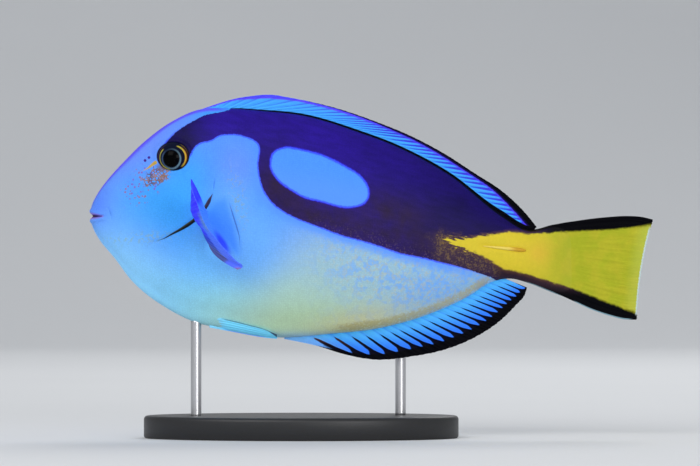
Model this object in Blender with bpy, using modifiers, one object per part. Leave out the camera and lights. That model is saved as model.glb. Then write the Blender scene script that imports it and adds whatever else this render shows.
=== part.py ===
"""A regal blue tang, life size, as a still model on a plain display stand.

Metres, +Z up. The head points to -X, the left flank faces -Y, and the origin is on the table
under the middle of the fish. Outlines are in shares of the fish's length, measured backwards
and upwards from the tip of the snout.
"""

import math

import bmesh
import bpy
import numpy as np
from mathutils import Matrix, Quaternion, Vector

# Driving dimensions
LENGTH = 0.200
SNOUT_HEIGHT = 0.0795
GAP = 0.0003

# Body outline and half width, in shares of the length
BACK = ((0.000, 0.000), (0.017, 0.0436), (0.060, 0.0943), (0.102, 0.1347), (0.145, 0.1655),
        (0.195, 0.1870), (0.245, 0.1892), (0.302, 0.1855), (0.387, 0.1755), (0.472, 0.1498),
        (0.558, 0.1165), (0.643, 0.0694), (0.729, 0.0030), (0.784, -0.0263), (0.823, -0.0180))
BELLY = ((0.000, 0.000), (0.017, -0.0463), (0.045, -0.0801), (0.074, -0.1183), (0.131, -0.1637),
         (0.188, -0.1922), (0.245, -0.2046), (0.344, -0.2189), (0.426, -0.2123), (0.515, -0.2020),
         (0.601, -0.1779), (0.672, -0.1459), (0.714, -0.1201), (0.746, -0.1141), (0.784, -0.1237),
         (0.823, -0.1393))
HALF_WIDTH = ((0.000, 0.000), (0.010, 0.0140), (0.025, 0.0215), (0.050, 0.0300), (0.090, 0.0400),
              (0.140, 0.0510), (0.200, 0.0610), (0.275, 0.0670), (0.375, 0.0670), (0.475, 0.0610),
              (0.575, 0.0500), (0.675, 0.0350), (0.740, 0.0245), (0.780, 0.0200), (0.823, 0.0110))
BACK_SHARPNESS = 1.15
BELLY_SHARPNESS = 1.00

# Where the body is parted: the edge of the gill cover, as (height in the section, share of the
# length) from the belly at -1 to the back at 1, and a straight line before the tail stalk
COVER_EDGE = ((-1.000, 0.052), (-0.500, 0.082), (-0.317, 0.109), (-0.243, 0.129), (-0.181, 0.145),
              (-0.113, 0.165), (-0.053, 0.181), (0.000, 0.191), (0.108, 0.207), (0.290, 0.219),
              (0.500, 0.2225), (1.000, 0.228))
STALK_START = 0.682
BODY_END = 0.823
COVER_LIFT = 0.0006

# Body mesh
POINTS_AROUND = 44
HEAD_RINGS = 26
TRUNK_RINGS = 22
STALK_RINGS = 9

# Head details
EYE_AT = (0.1472, 0.1035)
EYE_RADIUS = 0.0062
EYE_HALF_DEPTH = 0.0042
EYE_SINK = 0.0020
EYE_TURN = 0.6
ORBIT_RIM = 0.0009
ORBIT_RIM_OUT = 0.0005
ORBIT_RIM_SINK = 0.00045
NOSTRILS = ((0.104, 0.1014), (0.097, 0.0961))
NOSTRIL_RADIUS = 0.0006
MOUTH_CORNER = (0.027, -0.003)
MOUTH_CUT = (0.0050, 0.0070, 0.0013)
LIP_FRONT = 0.0075
LIP_RADIUS = 0.0010
UPPER_LIP = 0.0090
LOWER_LIP = -0.0150

# Fin margins, in shares of the length
DORSAL_MARGIN = ((0.200, 0.1908), (0.230, 0.1984), (0.259, 0.2064), (0.287, 0.2109),
                 (0.319, 0.2133), (0.359, 0.2073), (0.426, 0.1927), (0.515, 0.1628),
                 (0.572, 0.1391), (0.629, 0.1089), (0.686, 0.0721), (0.729, 0.0445),
                 (0.757, 0.0205), (0.778, -0.0018), (0.794, -0.0222))
ANAL_MARGIN = ((0.344, -0.2212), (0.401, -0.2331), (0.458, -0.2504), (0.508, -0.2585),
               (0.572, -0.2528), (0.629, -0.2411), (0.686, -0.2180), (0.729, -0.1895),
               (0.757, -0.1619), (0.773, -0.1432), (0.777, -0.1300))
CAUDAL_TOP = ((0.823, -0.0180), (0.864, -0.0112), (0.921, -0.0044), (0.953, -0.0027),
              (0.980, -0.0044), (1.000, -0.0089))
CAUDAL_BOTTOM = ((0.823, -0.1393), (0.850, -0.1504), (0.892, -0.1699), (0.921, -0.1797),
                 (0.949, -0.1865), (0.971, -0.1872))
CAUDAL_FORK = 0.009
DORSAL_BASE = (0.203, 0.784)
ANAL_BASE = (0.350, 0.728)
DORSAL_SWEEP = 0.80
ANAL_SWEEP = 0.60
PECTORAL_BASE = ((0.2102, 0.0080), (0.2195, -0.0294))
PECTORAL_MARGIN = ((0.1850, 0.0615, 0.210), (0.1870, 0.0402, 0.216), (0.1944, 0.0207, 0.214),
                   (0.1998, 0.0040, 0.208), (0.2080, -0.0165, 0.197), (0.2240, -0.0395, 0.180),
                   (0.2445, -0.0640, 0.160), (0.2615, -0.0820, 0.141), (0.2728, -0.0935, 0.124),
                   (0.2650, -0.0985, 0.120))
PELVIC_TOP = ((0.212, -0.1810), (0.248, -0.1877), (0.284, -0.1966), (0.310, -0.2037),
              (0.332, -0.2140))
PELVIC_DROP = 0.0024
PELVIC_APART = 0.0017
PELVIC_SPREAD = 0.0010

# How far the pectoral rays bow towards the snout, in metres, from the first ray at 0 to the last
PECTORAL_BOW = ((0.00, 0.0000), (0.10, 0.0019), (0.22, 0.0037), (0.35, 0.0036), (0.50, 0.0031),
                (0.62, 0.0038), (0.76, 0.0046), (0.90, 0.0050), (1.00, 0.0048))

# Fin rays and thickness
DORSAL_RAYS = 28
ANAL_RAYS = 21
CAUDAL_RAYS = 17
PECTORAL_RAYS = 15
PELVIC_RAYS = 5
RAY_THICKNESS = 0.0011
ROOT_THICKNESS = 0.0019
ROOT_REACH = 0.15
ROOT_SINK = 0.0020
MEMBRANE_SHARE = 0.55
FRONT_CLEARANCE = 2.5 * GAP

# Tail spines, one each side, lying in the flank with the point forwards
SPINE_TIP = (0.697, -0.0560)
SPINE_END = (0.775, -0.0640)
SPINE_HEIGHT = 0.0019
SPINE_DEPTH = 0.0016

# Display stand
BASE_CENTRE = -0.0250
BASE_LENGTH = 0.112
BASE_WIDTH = 0.064
BASE_HEIGHT = 0.008
ROD_RADIUS = 0.0019
FRONT_ROD = (0.188, 0.000, 0.062)
REAR_ROD = (0.552, 0.0058, 0.057)


def smooth(knots, x):
    """The smooth curve through the knots, read at x."""
    points = np.array(knots, float)
    xs = points[:, 0]
    ys = points[:, 1]
    slopes = np.gradient(ys, xs)
    x = np.clip(x, xs[0], xs[-1])
    i = np.clip(np.searchsorted(xs, x, side="right") - 1, 0, len(xs) - 2)
    step = xs[i + 1] - xs[i]
    t = (x - xs[i]) / step
    values = ys[i] * (1 + 2 * t) * (1 - t) ** 2 + ys[i + 1] * t * t * (3 - 2 * t)
    return values + step * t * (1 - t) * (slopes[i] * (1 - t) - slopes[i + 1] * t)


def blunt(knots, a):
    """A body outline at the share a, read on its square root so that the snout is round."""
    rooted = [(math.sqrt(knot[0]), knot[1]) for knot in knots]
    return smooth(rooted, np.sqrt(np.maximum(a, 0.0)))


def along(knots, t):
    """Points at the share t of the way along a line of knots with any number of coordinates."""
    points = np.array(knots, float)
    steps = np.linalg.norm(np.diff(points, axis=0), axis=1)
    way = np.concatenate([[0.0], np.cumsum(steps)]) / steps.sum()
    return [smooth(np.column_stack([way, column]), t) for column in points.T]


def world(a, y, height):
    """World coordinates of a place given in shares of the length, with y in metres."""
    x = (a - 0.5) * LENGTH
    z = SNOUT_HEIGHT + height * LENGTH
    return Vector((float(x), float(y), float(z)))


def section(a):
    """Middle height, half depth and half width of the body at the share a."""
    top = blunt(BACK, a)
    bottom = blunt(BELLY, a)
    return (top + bottom) / 2, (top - bottom) / 2, blunt(HALF_WIDTH, a)


def flank_y(a, height):
    """How far the flank stands from the middle plane at a place seen from the side, in metres."""
    middle, depth, width = section(a)
    level = np.clip((height - middle) / depth, -1.0, 1.0)
    power = BACK_SHARPNESS if level > 0 else BELLY_SHARPNESS
    return float(width * (1 - level * level) ** (power / 2) * LENGTH)


def body_ring(share_at, lift_at):
    """One closed ring of points round the body; share_at and lift_at take the section height."""
    ring = []
    for i in range(POINTS_AROUND):
        turn = 2 * math.pi * i / POINTS_AROUND
        level = math.cos(turn)
        a = share_at(level)
        middle, depth, width = section(a)
        power = BACK_SHARPNESS if level > 0 else BELLY_SHARPNESS
        side = math.copysign(abs(math.sin(turn)) ** power, -math.sin(turn))
        lift = math.copysign(lift_at(level), side) if abs(side) > 0.01 else 0.0
        ring.append(world(a, side * width * LENGTH + lift, middle + depth * level))
    return ring


def cover_edge(level):
    """Share of the length at which the gill cover ends, for a height in the section."""
    return float(smooth(COVER_EDGE, level))


def cover_gap(level):
    """Width of the slit behind the gill cover along the length, square to its slanting edge."""
    slope = (cover_edge(level + 0.02) - cover_edge(level - 0.02)) / 0.04
    depth = section(cover_edge(level))[1]
    return GAP / LENGTH * math.sqrt(1 + (slope / depth) ** 2)


def on_cover(level):
    """1 along the open gill slit and 0 above and below it."""
    above = min(max((0.40 - level) / 0.12, 0.0), 1.0)
    below = min(max((level + 0.42) / 0.12, 0.0), 1.0)
    return above * below


def loft(name, rings):
    """A closed mesh object through rings of equal length, each end closed from side to side."""
    shape = bmesh.new()
    rows = [[shape.verts.new(point) for point in ring] for ring in rings]
    count = len(rows[0])
    for near, far in zip(rows, rows[1:]):
        for i in range(count):
            j = (i + 1) % count
            shape.faces.new((near[i], near[j], far[j], far[i]))
    for row in (rows[0], rows[-1]):
        for i in range(count // 2):
            corners = [row[i], row[i + 1], row[count - i - 1], row[-i]]
            shape.faces.new(list(dict.fromkeys(corners)))
    bmesh.ops.recalc_face_normals(shape, faces=shape.faces)
    return finish(name, shape)


def finish(name, shape):
    """An object in the scene made from a bmesh, shaded smooth."""
    mesh = bpy.data.meshes.new(name)
    shape.to_mesh(mesh)
    shape.free()
    mesh.shade_smooth()
    part = bpy.data.objects.new(name, mesh)
    PARTS.objects.link(part)
    return part


def as_cutter(part):
    """Turns an object into a cutter, which isn't part of the fish."""
    part.hide_render = True
    part.display_type = "WIRE"
    PARTS.objects.unlink(part)
    CUTTERS.objects.link(part)
    return part


def bake(part):
    """Applies an object's modifiers and keeps the largest closed surface."""
    graph = bpy.context.evaluated_depsgraph_get()
    mesh = bpy.data.meshes.new_from_object(part.evaluated_get(graph))
    part.modifiers.clear()
    shape = bmesh.new()
    shape.from_mesh(mesh)
    left = set(shape.verts)
    pieces = []
    while left:
        piece = grow_piece(left.pop())
        left -= piece
        pieces.append(piece)
    largest = max(pieces, key=len)
    bmesh.ops.delete(shape, geom=[v for v in shape.verts if v not in largest], context="VERTS")
    shape.to_mesh(mesh)
    shape.free()
    mesh.shade_smooth()
    mesh.name = part.name
    part.data = mesh


def grow_piece(start):
    """All the vertices that edges join to the first one."""
    piece = {start}
    edge = [start]
    while edge:
        vertex = edge.pop()
        for link in vertex.link_edges:
            other = link.other_vert(vertex)
            if other not in piece:
                piece.add(other)
                edge.append(other)
    return piece


def boolean(part, operation, others, solver="EXACT"):
    """Joins the others to a part or cuts them from it, and applies the result."""
    group = bpy.data.collections.new(part.name + " " + operation.lower())
    bpy.context.scene.collection.children.link(group)
    for other in others:
        group.objects.link(other)
    modifier = part.modifiers.new(operation.title(), "BOOLEAN")
    modifier.operand_type = "COLLECTION"
    modifier.collection = group
    modifier.operation = operation
    modifier.solver = solver
    bpy.context.view_layer.update()
    bake(part)
    bpy.data.collections.remove(group)


def remove(parts):
    """Takes helper objects out of the scene."""
    for part in parts:
        bpy.data.objects.remove(part)


def paint(part, colour, roughness, metallic=0.0):
    """Gives a part its own material."""
    material = bpy.data.materials.new(part.name)
    material.use_nodes = True
    shader = material.node_tree.nodes["Principled BSDF"]
    shader.inputs["Base Color"].default_value = (*colour, 1.0)
    shader.inputs["Roughness"].default_value = roughness
    shader.inputs["Metallic"].default_value = metallic
    part.data.materials.clear()
    part.data.materials.append(material)


def make_body():
    """Head, trunk and tail stalk, lofted on one surface and parted by thin cuts."""
    head_rings = []
    for i in range(HEAD_RINGS):
        u = 0.012 + 0.988 * (i / (HEAD_RINGS - 1)) ** 1.45
        rise = COVER_LIFT * min(max((u - 0.86) / 0.10, 0.0), 1.0)
        head_rings.append(body_ring(lambda level: u * cover_edge(level),
                                    lambda level: rise * on_cover(level)))
    head = loft("head", head_rings)
    trunk_rings = []
    for i in range(TRUNK_RINGS):
        u = i / (TRUNK_RINGS - 1)

        def share(level):
            start = cover_edge(level) + cover_gap(level)
            return start + (STALK_START - GAP / LENGTH - start) * u

        trunk_rings.append(body_ring(share, lambda level: 0.0))
    trunk = loft("trunk", trunk_rings)
    stalk_rings = []
    for i in range(STALK_RINGS):
        a = STALK_START + (BODY_END - STALK_START) * i / (STALK_RINGS - 1)
        stalk_rings.append(body_ring(lambda level: a, lambda level: 0.0))
    stalk = loft("tail_stalk", stalk_rings)
    return head, trunk, stalk


def make_body_cutter():
    """The whole body grown by the gap, for trimming what grows from it."""
    rings = []
    count = HEAD_RINGS + TRUNK_RINGS + STALK_RINGS
    for i in range(count):
        a = 0.001 + (BODY_END - 0.001) * (i / (count - 1)) ** 1.3
        rings.append(body_ring(lambda level: a, lambda level: 0.0))
    cutter = loft("body_cutter", rings)
    shape = bmesh.new()
    shape.from_mesh(cutter.data)
    shape.normal_update()
    for vertex in shape.verts:
        vertex.co += vertex.normal * (GAP * 1.3)
    shape.to_mesh(cutter.data)
    shape.free()
    return as_cutter(cutter)


def ball(name, place, turn, radii, segments):
    """A closed ellipsoid with the given radii, turned and placed."""
    shape = bmesh.new()
    bmesh.ops.create_uvsphere(shape, u_segments=segments, v_segments=segments // 2, radius=1.0)
    matrix = Matrix.Translation(place) @ turn.to_matrix().to_4x4() @ Matrix.Diagonal((*radii, 1.0))
    bmesh.ops.transform(shape, matrix=matrix, verts=shape.verts)
    return finish(name, shape)


def eye_frame(side):
    """Where the flank is at the eye, the eye's outward axis, and the turn from +Z to it."""
    a, height = EYE_AT
    step = 0.01
    y = flank_y(a, height)
    along_x = (flank_y(a + step, height) - flank_y(a - step, height)) / (2 * step * LENGTH)
    along_z = (flank_y(a, height + step) - flank_y(a, height - step)) / (2 * step * LENGTH)
    axis = Vector((-along_x * EYE_TURN, side, -along_z * EYE_TURN)).normalized()
    return world(a, side * y, height), axis, Vector((0, 0, 1)).rotation_difference(axis)


def make_eye(name, side, grow):
    """One eyeball, flattened along its axis and sunk in the head; grow makes its socket."""
    surface, axis, turn = eye_frame(side)
    radii = (EYE_RADIUS + grow, EYE_RADIUS + grow, EYE_HALF_DEPTH + grow)
    return ball(name, surface - axis * EYE_SINK, turn, radii, 24)


def make_orbit_rim(side):
    """The raised ring of skin round one eye."""
    surface, axis, turn = eye_frame(side)
    rings = []
    for i in range(24):
        around = 2 * math.pi * i / 24
        outward = turn @ Vector((math.cos(around), math.sin(around), 0))
        centre = surface + outward * (EYE_RADIUS + ORBIT_RIM_OUT) - axis * ORBIT_RIM_SINK
        ring = []
        for j in range(6):
            round_tube = 2 * math.pi * j / 6
            ring.append(centre + outward * ORBIT_RIM * math.cos(round_tube)
                        + axis * ORBIT_RIM * math.sin(round_tube))
        rings.append(ring)
    return closed_tube("orbit_rim", rings)


def closed_tube(name, rings):
    """A tube whose last ring joins its first."""
    shape = bmesh.new()
    rows = [[shape.verts.new(point) for point in ring] for ring in rings]
    count = len(rows[0])
    for near, far in zip(rows, rows[1:] + rows[:1]):
        for i in range(count):
            j = (i + 1) % count
            shape.faces.new((near[i], near[j], far[j], far[i]))
    bmesh.ops.recalc_face_normals(shape, faces=shape.faces)
    return finish(name, shape)


def make_lip(front_height):
    """One lip: a tapered roll of skin from one corner of the mouth round the front to the other."""
    rings = []
    corner_a, corner_height = MOUTH_CORNER
    for i in range(15):
        swing = math.pi * i / 14 - math.pi / 2
        out = math.cos(swing) ** 0.8 if abs(swing) < 1.57 else 0.0
        a = corner_a - (corner_a - LIP_FRONT) * out
        height = corner_height + (front_height - corner_height) * out ** 0.7
        y = flank_y(corner_a, corner_height) * 0.93 * math.sin(swing)
        centre = world(a, y, height)
        radius = LIP_RADIUS * (0.45 + 0.55 * out)
        heading = Vector((-math.cos(swing), math.sin(swing), 0)).normalized()
        ring = []
        for j in range(8):
            turn = 2 * math.pi * j / 8
            ring.append(centre + heading * radius * math.cos(turn)
                        + Vector((0, 0, 1)) * radius * math.sin(turn))
        rings.append(ring)
    return loft("lip", rings)


def dress_head(head):
    """Adds the orbit rims and lips, then cuts the eye sockets, the mouth and the nostrils."""
    raised = [make_orbit_rim(-1), make_orbit_rim(1), make_lip(UPPER_LIP), make_lip(LOWER_LIP)]
    boolean(head, "UNION", raised)
    remove(raised)
    cutters = [make_eye("socket_left", -1, GAP), make_eye("socket_right", 1, GAP)]
    mouth_height = (UPPER_LIP + LOWER_LIP) / 2
    cutters.append(ball("mouth_cutter", world(0.0, 0.0, mouth_height), Quaternion(),
                        MOUTH_CUT, 16))
    for side in (-1, 1):
        for a, height in NOSTRILS:
            place = world(a, side * flank_y(a, height), height)
            cutters.append(ball("nostril_cutter", place, Quaternion(), (NOSTRIL_RADIUS,) * 3, 8))
    for cutter in cutters:
        as_cutter(cutter)
    boolean(head, "DIFFERENCE", cutters)
    remove(cutters)


def fin(name, centre, rays, rows, fullness):
    """A fin: a thin surface with a ridge for each ray, thickest at its root.

    centre(u, v) gives the middle surface, with u from the first ray to the last and v from
    root to margin, and fullness(u, v) scales the thickness.
    """
    shape = bmesh.new()
    columns = 2 * rays
    bmesh.ops.create_grid(shape, x_segments=columns, y_segments=rows, size=1.0)
    layer = shape.verts.layers.deform.verify()
    for vertex in shape.verts:
        u = (vertex.co.x + 1) / 2
        v = (vertex.co.y + 1) / 2
        on_ray = round(u * columns) % 2 == 1
        ridge = 1.0 if on_ray else MEMBRANE_SHARE
        root = max(0.0, 1 - v / ROOT_REACH)
        share = ridge * RAY_THICKNESS + root * (ROOT_THICKNESS - ridge * RAY_THICKNESS)
        vertex[layer][0] = min(share * fullness(u, v) / ROOT_THICKNESS, 1.0)
        vertex.co = centre(u, v)
    bmesh.ops.triangulate(shape, faces=shape.faces, quad_method="FIXED")
    part = finish(name, shape)
    part.vertex_groups.new(name="thickness")
    solid = part.modifiers.new("Thickness", "SOLIDIFY")
    solid.thickness = ROOT_THICKNESS
    solid.offset = 0.0
    solid.vertex_group = "thickness"
    return part


def swept(u, sweep):
    """The share of the margin that the ray at u reaches, leaning backwards by sweep."""
    return u + sweep * u ** 0.6 * (1 - u)


def thinning(u, v):
    """Fins thin out towards their margins."""
    return 1.0 - 0.35 * v


def make_dorsal_fin():
    """The long fin on the back: nine spines and soft rays, swept back."""
    def centre(u, v):
        start, end = DORSAL_BASE
        a = start + (end - start) * u
        root = world(a, 0, float(blunt(BACK, a))) + Vector((0, 0, GAP))
        margin_a, margin_height = along(DORSAL_MARGIN, swept(u, DORSAL_SWEEP))
        margin = world(margin_a, 0, margin_height) + Vector((0, 0, FRONT_CLEARANCE * (1 - u)))
        return root.lerp(margin, v)

    return fin("dorsal_fin", centre, DORSAL_RAYS, 5, thinning)


def make_anal_fin():
    """The long fin under the tail half of the body, swept back."""
    def centre(u, v):
        start, end = ANAL_BASE
        a = start + (end - start) * u
        root = world(a, 0, float(blunt(BELLY, a))) - Vector((0, 0, GAP))
        margin_a, margin_height = along(ANAL_MARGIN, swept(u, ANAL_SWEEP))
        margin = world(margin_a, 0, margin_height) - Vector((0, 0, FRONT_CLEARANCE * (1 - u)))
        return root.lerp(margin, v)

    return fin("anal_fin", centre, ANAL_RAYS, 6, thinning)


def make_caudal_fin():
    """The tail fin: rays that fan from the end of the stalk, slightly hollow behind."""
    def centre(u, v):
        reach = v - CAUDAL_FORK / 0.16 * math.sin(math.pi * u) * v
        top_a, top_height = along(CAUDAL_TOP, reach)
        bottom_a, bottom_height = along(CAUDAL_BOTTOM, reach)
        a = top_a + (bottom_a - top_a) * u
        height = top_height + (bottom_height - top_height) * u
        return world(a, 0, height) + Vector((GAP, 0, 0))

    def fullness(u, v):
        edge = 1.0 + 0.5 * (2 * u - 1) ** 6
        return edge * (1.0 - 0.45 * v)

    return fin("caudal_fin", centre, CAUDAL_RAYS, 9, fullness)


def make_pectoral_fin(name, side, body_cutter):
    """A cupped fan that stands out from the flank behind the gill cover."""
    def centre(u, v):
        (top_a, top_height), (low_a, low_height) = PECTORAL_BASE
        a = top_a + (low_a - top_a) * u
        height = top_height + (low_height - top_height) * u
        root = world(a, side * (flank_y(a, height) - ROOT_SINK), height)
        margin_a, margin_height, margin_y = along(PECTORAL_MARGIN, u)
        margin = world(margin_a, side * margin_y * LENGTH, margin_height)
        bow = float(smooth(PECTORAL_BOW, u)) * 4 * v * (1 - v)
        return root.lerp(margin, v) - Vector((bow, 0, 0))

    part = fin(name, centre, PECTORAL_RAYS, 8, thinning)
    bake(part)
    boolean(part, "DIFFERENCE", [body_cutter], "MANIFOLD")
    return part


def make_pelvic_fin(name, side, body_cutter):
    """A short narrow fin folded along the belly."""
    def centre(u, v):
        a, top = along(PELVIC_TOP, v)
        low = float(blunt(BELLY, float(a))) - PELVIC_DROP
        height = float(top) + (low - float(top)) * u
        clear = GAP + PELVIC_SPREAD * v if v > 0.1 else -PELVIC_SPREAD
        out = max(flank_y(float(a), height) + clear, PELVIC_APART)
        return world(a, side * out, height)

    part = fin(name, centre, PELVIC_RAYS, 8, thinning)
    bake(part)
    boolean(part, "DIFFERENCE", [body_cutter], "MANIFOLD")
    return part


def make_tail_spine(name, side, body_cutter):
    """The blade at the side of the tail stalk, laid down with its point forwards."""
    rings = []
    for i in range(13):
        t = 0.02 + 0.96 * i / 12
        a = SPINE_TIP[0] + (SPINE_END[0] - SPINE_TIP[0]) * t
        height = SPINE_TIP[1] + (SPINE_END[1] - SPINE_TIP[1]) * t
        full = math.sqrt(t) * min(1.0, (1 - t) / 0.18) ** 0.5
        centre = world(a, side * flank_y(a, height), height)
        ring = []
        for j in range(12):
            turn = 2 * math.pi * j / 12
            ring.append(centre + Vector((0, SPINE_DEPTH * full * math.sin(turn),
                                         SPINE_HEIGHT / 2 * full * math.cos(turn))))
        rings.append(ring)
    part = loft(name, rings)
    boolean(part, "DIFFERENCE", [body_cutter], "MANIFOLD")
    return part


def make_stand_base():
    """A plain oval plate with an eased top edge."""
    shape = bmesh.new()
    bmesh.ops.create_cone(shape, cap_ends=True, segments=56, radius1=0.5, radius2=0.5, depth=1.0)
    matrix = (Matrix.Translation((BASE_CENTRE, 0, BASE_HEIGHT / 2))
              @ Matrix.Diagonal((BASE_LENGTH, BASE_WIDTH, BASE_HEIGHT, 1.0)))
    bmesh.ops.transform(shape, matrix=matrix, verts=shape.verts)
    part = finish("stand_base", shape)
    bevel = part.modifiers.new("Edge", "BEVEL")
    bevel.width = 0.0012
    bevel.segments = 2
    bevel.limit_method = "ANGLE"
    return part


def make_rod(name, place, body_cutter):
    """A rod from the base up to the body, its top cut to the body's surface."""
    a, y, top = place
    bottom = BASE_HEIGHT + GAP
    shape = bmesh.new()
    bmesh.ops.create_cone(shape, cap_ends=True, segments=20, radius1=ROD_RADIUS,
                          radius2=ROD_RADIUS, depth=top - bottom)
    x = (a - 0.5) * LENGTH
    bmesh.ops.translate(shape, verts=shape.verts, vec=(x, y, (top + bottom) / 2))
    part = finish(name, shape)
    boolean(part, "DIFFERENCE", [body_cutter], "MANIFOLD")
    return part


def clear_scene():
    """Removes what the file starts with."""
    for thing in list(bpy.data.objects):
        bpy.data.objects.remove(thing)


def main():
    blue = (0.06, 0.32, 0.95)
    band = (0.05, 0.30, 0.95)
    head, trunk, stalk = make_body()
    body_cutter = make_body_cutter()
    dress_head(head)
    paint(head, blue, 0.35)
    paint(trunk, (0.10, 0.09, 0.55), 0.35)
    paint(stalk, (0.75, 0.60, 0.05), 0.35)
    for suffix, side in (("left", -1), ("right", 1)):
        paint(make_eye("eye_" + suffix, side, 0.0), (0.02, 0.02, 0.03), 0.05)
        pectoral = make_pectoral_fin("pectoral_fin_" + suffix, side, body_cutter)
        paint(pectoral, (0.15, 0.20, 0.85), 0.4)
        pelvic = make_pelvic_fin("pelvic_fin_" + suffix, side, body_cutter)
        paint(pelvic, (0.20, 0.60, 0.95), 0.4)
        spine = make_tail_spine("tail_spine_" + suffix, side, body_cutter)
        paint(spine, (0.85, 0.65, 0.20), 0.35)
    paint(make_dorsal_fin(), band, 0.4)
    paint(make_anal_fin(), band, 0.4)
    paint(make_caudal_fin(), (0.70, 0.60, 0.06), 0.4)
    paint(make_stand_base(), (0.02, 0.02, 0.022), 0.45)
    paint(make_rod("stand_rod_front", FRONT_ROD, body_cutter), (0.6, 0.6, 0.62), 0.3, 1.0)
    paint(make_rod("stand_rod_rear", REAR_ROD, body_cutter), (0.6, 0.6, 0.62), 0.3, 1.0)
    remove([body_cutter])


clear_scene()
PARTS = bpy.data.collections.new("regal_blue_tang")
CUTTERS = bpy.data.collections.new("cutters")
bpy.context.scene.collection.children.link(PARTS)
bpy.context.scene.collection.children.link(CUTTERS)
main()
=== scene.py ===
"""Looks of the regal blue tang on its display stand.

Every piece is a surface computed from the fish's own outlines, which are written in shares of its
length, measured backwards and upwards from the tip of the snout: a and h below. Other sizes are
in metres. MM turns shares of the length into millimetres.
"""

import math

import bpy
import numpy as np
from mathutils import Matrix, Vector


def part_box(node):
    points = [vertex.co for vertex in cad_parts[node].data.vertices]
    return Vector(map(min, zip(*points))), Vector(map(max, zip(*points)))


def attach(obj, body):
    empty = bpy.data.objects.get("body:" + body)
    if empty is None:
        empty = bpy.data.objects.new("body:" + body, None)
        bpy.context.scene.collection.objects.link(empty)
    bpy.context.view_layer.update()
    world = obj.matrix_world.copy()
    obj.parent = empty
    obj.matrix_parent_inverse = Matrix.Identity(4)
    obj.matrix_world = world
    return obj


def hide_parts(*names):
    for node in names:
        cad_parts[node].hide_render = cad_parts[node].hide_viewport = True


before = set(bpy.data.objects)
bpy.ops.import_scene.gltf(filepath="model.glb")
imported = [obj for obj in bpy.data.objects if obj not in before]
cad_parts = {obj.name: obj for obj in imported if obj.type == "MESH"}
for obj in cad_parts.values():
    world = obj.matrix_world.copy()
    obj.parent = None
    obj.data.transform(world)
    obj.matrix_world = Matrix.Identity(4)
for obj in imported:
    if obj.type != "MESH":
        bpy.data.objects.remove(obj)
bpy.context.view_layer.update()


def table(*numbers, columns=2):
    """Rows of numbers written in ten-thousandths, two to a row: mostly places a, h."""
    return np.array(numbers).reshape(-1, columns) / 10000


# Driving dimensions
GAP = 0.0003
LENGTH = 2 * (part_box("caudal_fin")[1][0] - GAP)
MM = LENGTH * 1000
SNOUT_HEIGHT = 0.0795
SIDES = (("left", -1), ("right", 1))

# Camera: level, straight at the left flank
VIEW_DISTANCE = 2.0
VIEW_WIDTH = 0.2491
AIM = (0.4618, -0.0329)

# Body outline and half width at shares of the length
BACK = table(
    0, 0, 170, 436, 600, 943, 1020, 1347, 1450, 1655, 1950, 1870, 2450, 1892, 3020, 1855,
    3870, 1755, 4720, 1498, 5580, 1165, 6430, 694, 7290, 30, 7840, -263, 8230, -180, 8640, -125)
BELLY = table(
    0, 0, 170, -463, 450, -801, 740, -1183, 1310, -1637, 1880, -1922, 2450, -2046, 3440, -2189,
    4260, -2123, 5150, -2020, 6010, -1779, 6720, -1459, 7140, -1201, 7460, -1141, 7840, -1237,
    8230, -1393, 8500, -1490, 8640, -1545)
HALF_WIDTH = table(
    0, 0, 100, 140, 250, 215, 500, 300, 900, 400, 1400, 510, 2000, 610, 2750, 670, 3750, 670,
    4750, 610, 5750, 500, 6750, 350, 7400, 245, 7800, 200, 8230, 110, 8450, 45, 8640, 8)
BACK_SHARPNESS = 1.15
BELLY_SHARPNESS = 1.0
SKIN_END = 0.862
SKIN_ROWS = 400
SKIN_COLUMNS = 240

# Markings, as closed outlines on the side of the fish
MASK = table(
    1320, 1219, 1415, 1355, 1535, 1478, 1770, 1630, 2037, 1765, 2304, 1822, 2480, 1868, 2625, 1920,
    3906, 2037, 4795, 1824, 5685, 1468, 6575, 970, 7286, 400, 7785, 27, 8354, 44, 8900, -810,
    8354, -1699, 7464, -1521, 7233, -1183, 6931, -1050, 6575, -934, 6219, -845, 5863, -756,
    5507, -685, 5151, -560, 4795, -454, 4440, -356, 4084, -222, 3728, -89, 3461, 44, 3283, 169,
    3158, 311, 3069, 472, 3016, 649, 2986, 881, 3007, 1059, 3016, 1183, 2963, 1290, 2838, 1361,
    2625, 1423, 2447, 1429, 2286, 1404, 2126, 1317, 1966, 1281, 1842, 1192, 1753, 1041, 1593, 1005,
    1379, 1060)
OVAL = table(
    3194, 934, 3230, 1077, 3336, 1165, 3514, 1201, 3728, 1165, 4084, 1077, 4351, 961, 4617, 819,
    4795, 703, 4920, 543, 4964, 400, 4938, 276, 4849, 178, 4653, 125, 4440, 133, 4084, 231,
    3817, 294, 3621, 400, 3425, 525, 3301, 649, 3212, 792)
YELLOW = table(
    6326, -445, 6575, -427, 6931, -400, 7198, -356, 7464, -311, 7820, -347, 8176, -320, 8710, -302,
    9066, -285, 9422, -258, 9778, -214, 9991, -169, 10276, -133, 10276, -2055, 9867, -1842,
    9600, -1717, 9244, -1575, 8888, -1432, 8532, -1290, 8176, -1183, 7820, -1068, 7464, -988,
    7286, -934, 7109, -810, 6931, -721, 6681, -623, 6397, -507)
SPECKLED = table(
    6150, -370, 6390, -420, 6753, -560, 7109, -756, 7400, -940, 7250, -1060, 6850, -960, 6330, -790,
    6190, -600)
# AXIL bounds the deeper blue skin behind the pectoral base, partly painted shade in the fin's pit.
AXIL = table(2090, 120, 2350, 300, 2470, 200, 2600, -240, 2650, -700, 2450, -600, 2150, -200)

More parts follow.
